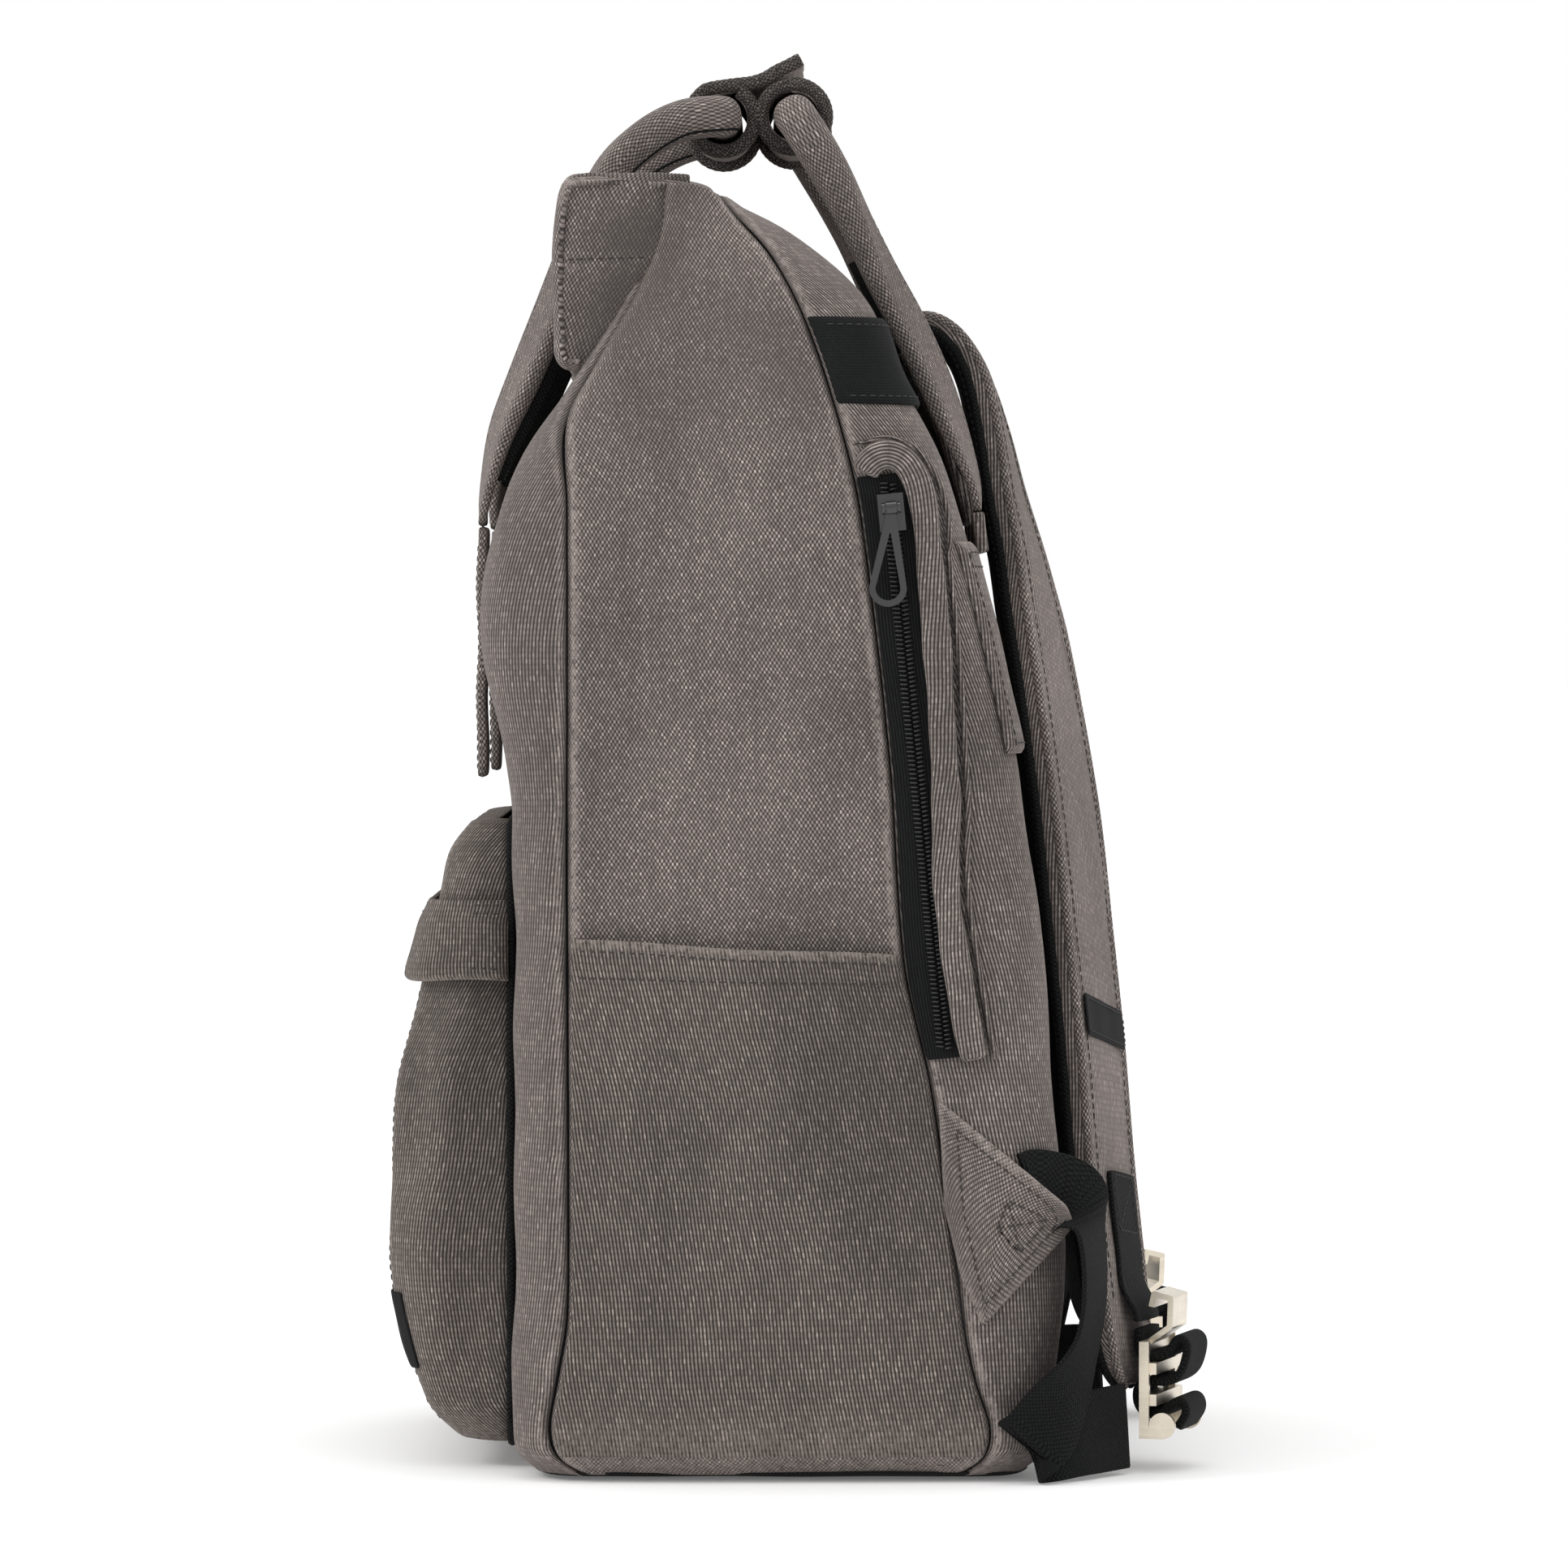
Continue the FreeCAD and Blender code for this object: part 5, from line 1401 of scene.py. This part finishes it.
# ---------------------------------------------------------------- shoulder straps
# Height, middle Y, middle X, width and thickness of the right strap from its fold down to its tip.
STRAP = [
    (397.8, 44.5, 24, 42, 6), (403, 46.5, 24, 42, 7), (405.5, 53, 24, 42, 8),
    (402, 60.5, 24, 42, 9), (395, 67, 24, 42, 9.5), (384, 72.5, 24, 42, 10.5),
    (366, 77.5, 24.5, 43, 11), (344, 82, 25, 44, 11), (316, 89, 27, 45, 11),
    (274, 97, 39, 52, 11), (232, 103, 54, 58.5, 11), (190, 107, 68, 60, 11),
    (148, 111, 78, 60, 11), (106, 114.5, 85, 60, 11), (64, 119, 92, 58, 10.5),
    (44, 121.5, 95, 52, 9.5), (34, 122.8, 96, 40, 8), (29, 123.5, 96.5, 22, 6.5),
]
ROOT = [(70.6, 333), (66.9, 345), (61.2, 362), (56.4, 373), (50.7, 384), (45.6, 395)]
# how far the straps turn outwards on their way down
TILT = radians(16)


def along_strap(mirror, count=120):
    """(centre, across, out, width, thickness) from the fold to the tip, all in millimetres."""
    keyed, run = [], 0
    for n, row in enumerate(STRAP):
        if n:
            last = STRAP[n - 1]
            run += ((row[0] - last[0]) ** 2 + (row[1] - last[1]) ** 2 + (row[2] - last[2]) ** 2) ** 0.5
        keyed.append((run,) + row)
    out = []
    for n in range(count):
        s = run * n / (count - 1)
        z, y, x, width, thick = table_at(keyed, s)
        z_0, y_0, x_0 = table_at(keyed, max(s - 2, 0))[:3]
        z_1, y_1, x_1 = table_at(keyed, min(s + 2, run))[:3]
        ahead = Vector((x_1 - x_0, y_1 - y_0, z_1 - z_0)).normalized()
        turn = TILT * clamp((400 - z) / 100)
        across = Vector((cos(turn), -sin(turn), 0))
        across = (across - ahead * across.dot(ahead)).normalized()
        outward = across.cross(ahead)
        place = at(x, y, z)
        bend = rumple(place * mirror, 0.07, 95) * 0.7 * smooth(0, 60, s)
        centre = Vector((x, y, z)) + outward * bend
        flip_x = Vector((mirror, 1, 1))
        out.append((centre * flip_x, across * flip_x, outward * flip_x, width, thick, s))
    return out


def pad_grid(name, stations, ring_of, mirror):
    rings = []
    for centre, across, outward, width, thick, s in stations:
        rings.append([(centre + across * a + outward * o) * MM for a, o in ring_of(width, thick, s)])
    obj = skin(name, rings)
    return subdivide(obj if mirror > 0 else flip(obj))


def pad_section(width, thick, s):
    """The outer cover: crowned, drawn in at its piped edges, with the foam's slack showing."""
    half = width / 2
    low, high = -thick * 0.24, thick * 0.5
    ring = []
    for n in range(17):
        share = n / 16
        a = half * cos(pi * share)
        crown = 1 * sin(pi * share) ** 0.6 + 0.5 * rumple(Vector((a * MM, s * MM, 0)), 0.03, 33)
        quilt = -1.3 * exp(-((abs(a) - (half - 6.5)) / 1.5) ** 2)
        ring.append((a, high - 1.8 + crown * 1.8 + quilt if 0 < n < 16 else high - 2.6))
    ring += [(-half - 0.2, (high + low) / 2), (-half + 0.4, low + 0.4), (-half + 2, low)]
    ring += [(-half + 2 + (2 * half - 4) * n / 6, low) for n in range(1, 6)]
    ring += [(half - 2, low), (half - 0.4, low + 0.4), (half + 0.2, (high + low) / 2)]
    return ring


def mesh_section(width, thick, s):
    """The spacer mesh on the wearer's side, pillowed between its edges."""
    half = width / 2 - 1.6
    ring = []
    for n in range(13):
        a = -half * cos(pi * n / 12)
        ring.append((a, -thick * 0.5 - 0.6 * sin(pi * n / 12)))
    ring += [(half + 0.2, -thick * 0.3), (half - 1.5, -thick * 0.2)]
    ring += [(-half + 1.5, -thick * 0.2), (-half - 0.2, -thick * 0.3)]
    return ring


for side, mirror in SIDES:
    body = "strap_" + side
    stations = along_strap(mirror)
    pad = pad_grid("strap pad " + side, stations, pad_section, mirror)
    piece(pad, body, canvas_rib, ["strap_pad_" + side])
    inner = pad_grid("strap mesh " + side, stations, mesh_section, mirror)
    piece(inner, body, mesh_cloth, ["strap_mesh_" + side])
    for edge in (1, -1):
        for height, radius, stuff in ((0.5, 1.7, canvas), (-0.27, 1.5, webbing)):
            path = []
            for centre, across, outward, width, thick, s in stations:
                lift = thick * height - (1.9 if height > 0 else -0.2)
                path.append((centre + across * (edge * (width / 2 - 1)) + outward * lift) * MM)
            cord = tube("strap piping " + side, resample(path, 170), radius * MM)
            piece(cord, body, stuff)
    lines = []
    for edge in (1, -1):
        sewn = stations[6:-8]
        points = [(c + a * (edge * (w / 2 - 6.5)) + o * (t * 0.5 - 0.3)) * MM for c, a, o, w, t, _ in sewn]
        lines.append((points, [o for _, _, o, _, _, _ in sewn]))
    stitch_rows("strap stitching " + side, lines, body)

    # the strap's root lies flat against the back
    root = [(Vector((24 * mirror, p.y, p.z)), Vector((mirror, 0, 0)), 42, 5.4) for p in upright_curve(ROOT, 40)]
    slab = strap_piece("strap root " + side, root, lambda w, t: rounded_bar(w, t, 0.5, 2))
    soft(slab, "bag", canvas_rib, ["strap_root_" + side])


def on_strap(mirror, z, across_by, lift):
    """A point on the outer face of a strap at a height."""
    best = min(along_strap_cache[mirror], key=lambda st: abs(st[0].z - z) + (1000 if st[5] < 60 else 0))
    centre, across, outward, width, thick, s = best
    return (centre + across * across_by + outward * (thick / 2 + lift)) * MM, outward


along_strap_cache = {mirror: along_strap(mirror, 500) for mirror in (1, -1)}


def strap_line(mirror, corners, count, lift):
    """A stitch line on a strap through (across, height) corners."""
    marks = [corners[0]]
    for start, end in zip(corners, corners[1:]):
        marks += [row_between(start, end, n / count) for n in range(1, count + 1)]
    spots = [on_strap(mirror, z, a, lift) for a, z in marks]
    return [p for p, _ in spots], [outward for _, outward in spots]


def label_mesh(name, rows, body):
    soft(solidify(grid_mesh(name + " label", rows), 0.9 * MM), body, label_cloth, [name + "_label"])


rows = []
for z in [162.4 - 1.2 * n for n in range(13)]:
    row = []
    for a in [-25.5 + 3 * n for n in range(18)]:
        p, outward = on_strap(1, z, a, 0.9)
        row.append(p + outward * (0.15 * sin(a * 0.3) * MM))
    rows.append(row)
label_mesh("strap", rows, "strap_right")
rim = [(-24.2, 161.2), (24.2, 161.2), (24.2, 149.2), (-24.2, 149.2), (-24.2, 161.2)]
stitch_rows("strap label stitching", [strap_line(1, rim, 12, 1.05)], "strap_right", thread_black,
            length=1.6, pause=0.6, radius=0.25)

rows = []
for z in [35 + 1.5 * n for n in range(19)]:
    row = []
    for x in [70 + 1.8 * n for n in range(17)]:
        share = pocket_share(z, x)
        normal = surface_normal(pocket_surface, share, z, 0.004)
        normal = normal if normal.dot(Vector((0.7, -0.7, 0))) > 0 else -normal
        row.append(pocket_surface(share, z) + normal * (0.9 * MM))
    rows.append(row)
label_mesh("pocket", rows, "bag")

# ---------------------------------------------------------------- webbing and buckles
BUCKLE_AT = Vector((95, 132.5, 29))


def by_buckle(mirror, across, out, up):
    """A point near a buckle, in millimetres."""
    p = Vector((across * cos(TILT) + out * sin(TILT), -across * sin(TILT) + out * cos(TILT), up)) + BUCKLE_AT
    return Vector((p.x * mirror, p.y, p.z))


# (out, up) of the webbing folded through the buckle, from its upper end to its tail.
FOLDED = [(-2.2, 21), (-2.2, 15), (-0.5, 11.5), (4.5, 11.2), (8.5, 13), (12, 17.6), (15, 16), (14.8, 11),
          (12.6, 5.5), (8.2, 2.6), (2, 2.4), (-2.2, 0.5), (-2.5, -5), (0.5, -8.8), (6, -8.6), (10.5, -5),
          (13.6, -4.4), (14.8, -8.5), (11.5, -14)]
for side, mirror in SIDES:
    across_buckle = Vector((cos(TILT) * mirror, -sin(TILT), 0))
    stations = [(by_buckle(mirror, 0, p.y, p.z), across_buckle, 27.5, 3.2) for p in upright_curve(FOLDED, 100)]
    folded = strap_piece("buckle webbing " + side, stations, lambda w, t: rounded_bar(w, t, 0, 1.4, 4), sway=0)
    soft(folded, "buckle_" + side, webbing, ["buckle_webbing_" + side])

    points = [on_strap(mirror, z, 0, 1.3)[0] / MM for z in (102.5, 94, 84, 74, 64)]
    points += [by_buckle(mirror, 0, -3.2, 27.5), by_buckle(mirror, 0, -2.3, 22.8)]
    stations = [(p, across_buckle, 32, 1.8) for p in curve_through(points, 50)]
    long = strap_piece("strap webbing " + side, stations, lambda w, t: rounded_bar(w, t, 0.15, 0.8, 3), sway=0)
    soft(long, "strap_" + side, webbing, ["strap_webbing_" + side])
    box = [(-12, 101), (12, 101), (12, 82), (-12, 82), (-12, 101), (12, 82)]
    box_line = strap_line(mirror, box, 14, 2.35)
    stitch_rows("webbing box stitch " + side, [box_line], "strap_" + side, thread_black)

# Place, direction across and share of the full width of the lower webbing, from under the tab down the side,
# through a fold near the floor, and back up under the strap.
LOWER = [
    ((149.6, 88, 99), (0, -0.2, 0.97), 1),
    ((147.8, 91, 99.5), (0, -0.1, 0.99), 1),
    ((142.8, 100.6, 97), (-0.26, 0.08, 0.93), 1),
    ((144.2, 107.2, 92), (-0.88, 0.3, 0.36), 1),
    ((144.4, 109.2, 84.5), (-0.95, 0.28, 0.1), 1),
    ((144.3, 110.2, 72), (-0.96, 0.27, 0), 1),
    ((144.3, 109.5, 58), (-0.96, 0.27, -0.02), 1),
    ((145.6, 106.5, 45), (-0.94, 0.3, -0.12), 1),
    ((149, 101.5, 33), (-0.82, 0.45, -0.33), 0.98),
    ((153.5, 95.5, 23.5), (-0.55, 0.62, -0.52), 0.93),
    ((156.5, 90, 16.5), (-0.3, 0.68, -0.64), 0.86),
    ((156, 87, 14), (-0.2, 0.68, -0.67), 0.82),
    ((152.8, 87.5, 13.2), (-0.18, 0.66, -0.7), 0.82),
    ((148.5, 95, 14), (-0.15, 0.5, -0.83), 0.85),
    ((141, 104.5, 15.6), (-0.1, 0.3, -0.93), 0.88),
    ((130, 113.5, 16.5), (0, 0.1, -0.98), 0.92),
    ((119, 122, 17), (-0.05, 0.1, -1), 0.93),
]
keyed = [(float(n),) + place + across + (share,) for n, (place, across, share) in enumerate(LOWER)]
for side, mirror in SIDES:
    flip_x = Vector((mirror, 1, 1))
    stations = []
    for n in range(100):
        x, y, z, ax, ay, az, share = table_at(keyed, (len(LOWER) - 1) * n / 99)
        stations.append((Vector((x, y, z)) * flip_x, Vector((ax, ay, az)) * flip_x, 32 * share, 1.8))
    lower = strap_piece("lower webbing " + side, stations, lambda w, t: rounded_bar(w, t, 0, 0.8, 3), sway=0.3)
    lower.modifiers.clear()
    piece(lower, "bag", webbing, ["lower_webbing_" + side])


TAB_COLUMNS, TAB_ROWS = 34, 22
TAB_LOWER = [(57.5, 96), (63, 72), (71, 53.5), (85, 69.2), (97.5, 83.2), (101.6, 87.8)]
TAB_UPPER = [(55.6, 133), (61, 129.2), (74, 118.4), (88, 107), (100.4, 96.6), (102.4, 91)]


def tab_mesh(side, mirror):
    """The padded triangle between its two (Y, Z) edges."""
    lower = resample([Vector((0, y, z)) for y, z in TAB_LOWER], TAB_COLUMNS)
    upper = resample([Vector((0, y, z)) for y, z in TAB_UPPER], TAB_COLUMNS)

    def place(i, j):
        share, along = j / (TAB_ROWS - 1), i / (TAB_COLUMNS - 1)
        p = lower[i].lerp(upper[i], share)
        lift = -0.9 * (1 - smooth(0, 0.09, min(share, 1 - share, along, 1 - along)))
        return at((HALF + 2.9 + lift + 0.5 * rumple(p * MM, 0.02, 8)) * mirror, p.y, p.z)
    return grid_over("strap tab " + side, place, range(TAB_COLUMNS), range(TAB_ROWS), wear_and_shade=lambda i, j: (
        0.7 * (1 - smooth(0, 2.5, min(i, j, TAB_COLUMNS - 1 - i, TAB_ROWS - 1 - j)))))


tab_lines = []
for side, mirror in SIDES:
    tab = tab_mesh(side, mirror)
    if mirror < 0:
        flip(tab)
    cloth(tab, "bag", canvas, ["strap_tab_" + side], 2.2)
    ring = [(62, 122.5), (95.5, 95.2), (97, 91.5), (94, 86.2), (71.8, 61.8), (64.5, 94), (62, 122.5)]
    box = [(80, 98), (94, 91.5), (84, 80), (76, 88.5), (80, 98), (84, 80), (76, 88.5), (94, 91.5)]
    for outline in (ring, box):
        points = resample([at((HALF + 3.15) * mirror, y, z) for y, z in outline], 90)
        tab_lines.append((points, [RIGHT * mirror] * 90))
stitch_rows("tab stitching", tab_lines, "bag")

# ---------------------------------------------------------------- back details
def back_face(x, z, lift):
    """A point over the back panel, wrapped round its upright corners. x is measured round the corner."""
    hx, front, back, r = plan(z)
    flat = hx - r
    side = 1 if x >= 0 else -1
    run = abs(x)
    if run <= flat:
        return at(x, back + lift, z)
    angle = (run - flat) / r
    if angle < pi / 2:
        return at(side * (flat + (r + lift) * sin(angle)), back - r + (r + lift) * cos(angle), z)
    return at(side * (hx + lift), back - r - (run - flat - r * pi / 2), z)


BAND_LOW, BAND_HIGH = 373, 404


def band_surface(x, z):
    """The band: x runs from -175 to 175 between the two side seams."""
    hx, front, back, r = plan(z)
    run = x / 175 * (hx - r + r * pi / 2 + back - r - seam_y(BACK_SEAM, z) - 1)
    edge = min(z - BAND_LOW, BAND_HIGH - z)
    lift = 1.9 + rumple(at(run, 0, z), 0.03, 9) * 0.35 - 1 * (1 - smooth(0, 1.6, edge)) + 0.12 * sin(run / 4)
    return back_face(run, z, lift)


band_heights = [BAND_LOW, 373.6, 374.6, 376.5] + [379 + 3.2 * n for n in range(7)]
band_heights += [400.5, 402.4, 403.4, BAND_HIGH]
band = flip(grid_over("yoke band", band_surface, steps(-175, 175, 5), band_heights))
cloth(band, "bag", band_cloth, ["yoke_band"], 1.6)
band_rows = []
for z in (376, 401):
    points, _ = line_on(band_surface, between((-172, z), (172, z), 90), BACKWARD)
    round_corner = [Vector((p.x * 2.5, 0.25, 0.1)).normalized() for p in points]
    band_rows.append((points, [o if abs(p.x) > 0.125 else BACKWARD for p, o in zip(points, round_corner)]))
stitch_rows("yoke band stitching", band_rows, "bag", thread_black)


SLEEVE_HALF, SLEEVE_LOW, SLEEVE_HIGH = 143, 252, 326


def sleeve_surface(x, z):
    edge = min(SLEEVE_HALF - abs(x), z - SLEEVE_LOW, SLEEVE_HIGH - z)
    lift = 2 + creases(at(x, 0, z), (0.05, 27, 0.9), (0.02, 6, 0.4)) - 1.8 * (1 - smooth(0, 2.6, edge))
    return back_face(x, z, lift)


sleeve_heights = steps(SLEEVE_LOW, SLEEVE_HIGH, 4.5, (0.8, 2, 4))
sleeve_x = steps(-SLEEVE_HALF, SLEEVE_HALF, 5, (0.8, 2, 4))
sleeve = grid_over("back pocket", sleeve_surface, sleeve_x, sleeve_heights,
                   wear_and_shade=lambda i, j: 0.7 * smooth(len(sleeve_heights) - 4, len(sleeve_heights) - 1, j))
flip(sleeve)
cloth(sleeve, "bag", canvas_rib, ["back_pocket_panel"], 1.4)
sleeve_lines = [line_on(sleeve_surface, between((-139, z), (139, z), 80), BACKWARD) for z in (256, 322, 317)]
sleeve_lines += [line_on(sleeve_surface, between((x, 255), (x, 323), 30), BACKWARD) for x in (-139, 139)]
stitch_rows("back pocket stitching", sleeve_lines, "bag")

# ---------------------------------------------------------------- carried over from the CAD
kept = {
    "buckle_right": nickel, "buckle_left": nickel, "side_zip_slider": gloss_black,
    "side_zip_puller": gloss_black, "pocket_zip_slider": gloss_black, "pocket_zip_puller": gloss_black,
    "base_board": board, "back_foam": foam,
    "laptop_divider": lining_cloth,
}
for name, material in kept.items():
    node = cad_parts[name]
    node.data.materials.clear()
    node.data.materials.append(material)
    width = {"buckle": 0.35, "side_z": 0.25, "pocket": 0.2}.get(name[:6], 0.8)
    bevel = node.modifiers.new("soft edges", "BEVEL")
    bevel.width = width * MM
    bevel.segments = 3
    bevel.limit_method = "ANGLE"
    bevel.angle_limit = radians(35)
    bevel.harden_normals = True

# ---------------------------------------------------------------- studio
floor = mesh_object("floor", [(-30, -30, 0), (30, -30, 0), (30, 30, 0), (-30, 30, 0)], [(0, 1, 2, 3)])
floor_look = Nodes("studio floor")
floor_look.look(Base_Color=(0.93, 0.93, 0.93, 1), Emission_Color=(1, 1, 1, 1), Emission_Strength=0.12,
                Roughness=0.9, Specular_IOR_Level=0.1)
floor.data.materials.append(floor_look.material)

world = bpy.data.worlds.new("studio")
scene.world = world
world.use_nodes = True
background = world.node_tree.nodes["Background"]
background.inputs["Color"].default_value = (1, 1, 1, 1)
background.inputs["Strength"].default_value = 1


def softbox(name, place, target, size, power):
    light = bpy.data.lights.new(name, "AREA")
    light.shape = "RECTANGLE"
    light.size, light.size_y = size
    light.energy = power
    obj = bpy.data.objects.new(name, light)
    scene.collection.objects.link(obj)
    obj.location = place
    obj.rotation_mode = "QUATERNION"
    obj.rotation_quaternion = (Vector(target) - Vector(place)).to_track_quat("-Z", "Y")
    return obj


softbox("key softbox", (1.1, -1.7, 1.6), (0, 0, 0.25), (0.7, 0.7), 14)
softbox("top softbox", (0.2, 0.2, 2.2), (0, 0, 0.3), (1.4, 1.4), 8)

camera_data = bpy.data.cameras.new("camera")
camera_data.sensor_width = 36
camera_data.lens = 189.6
camera_data.clip_start, camera_data.clip_end = 0.1, 100
camera = bpy.data.objects.new("camera", camera_data)
scene.collection.objects.link(camera)
camera.location = (3, 0.0025, 0.3)
camera.rotation_mode = "QUATERNION"
camera.rotation_quaternion = (Vector((0.15, 0.0025, 0.2419)) - camera.location).to_track_quat("-Z", "Y")
scene.camera = camera
scene.view_settings.view_transform = "Standard"
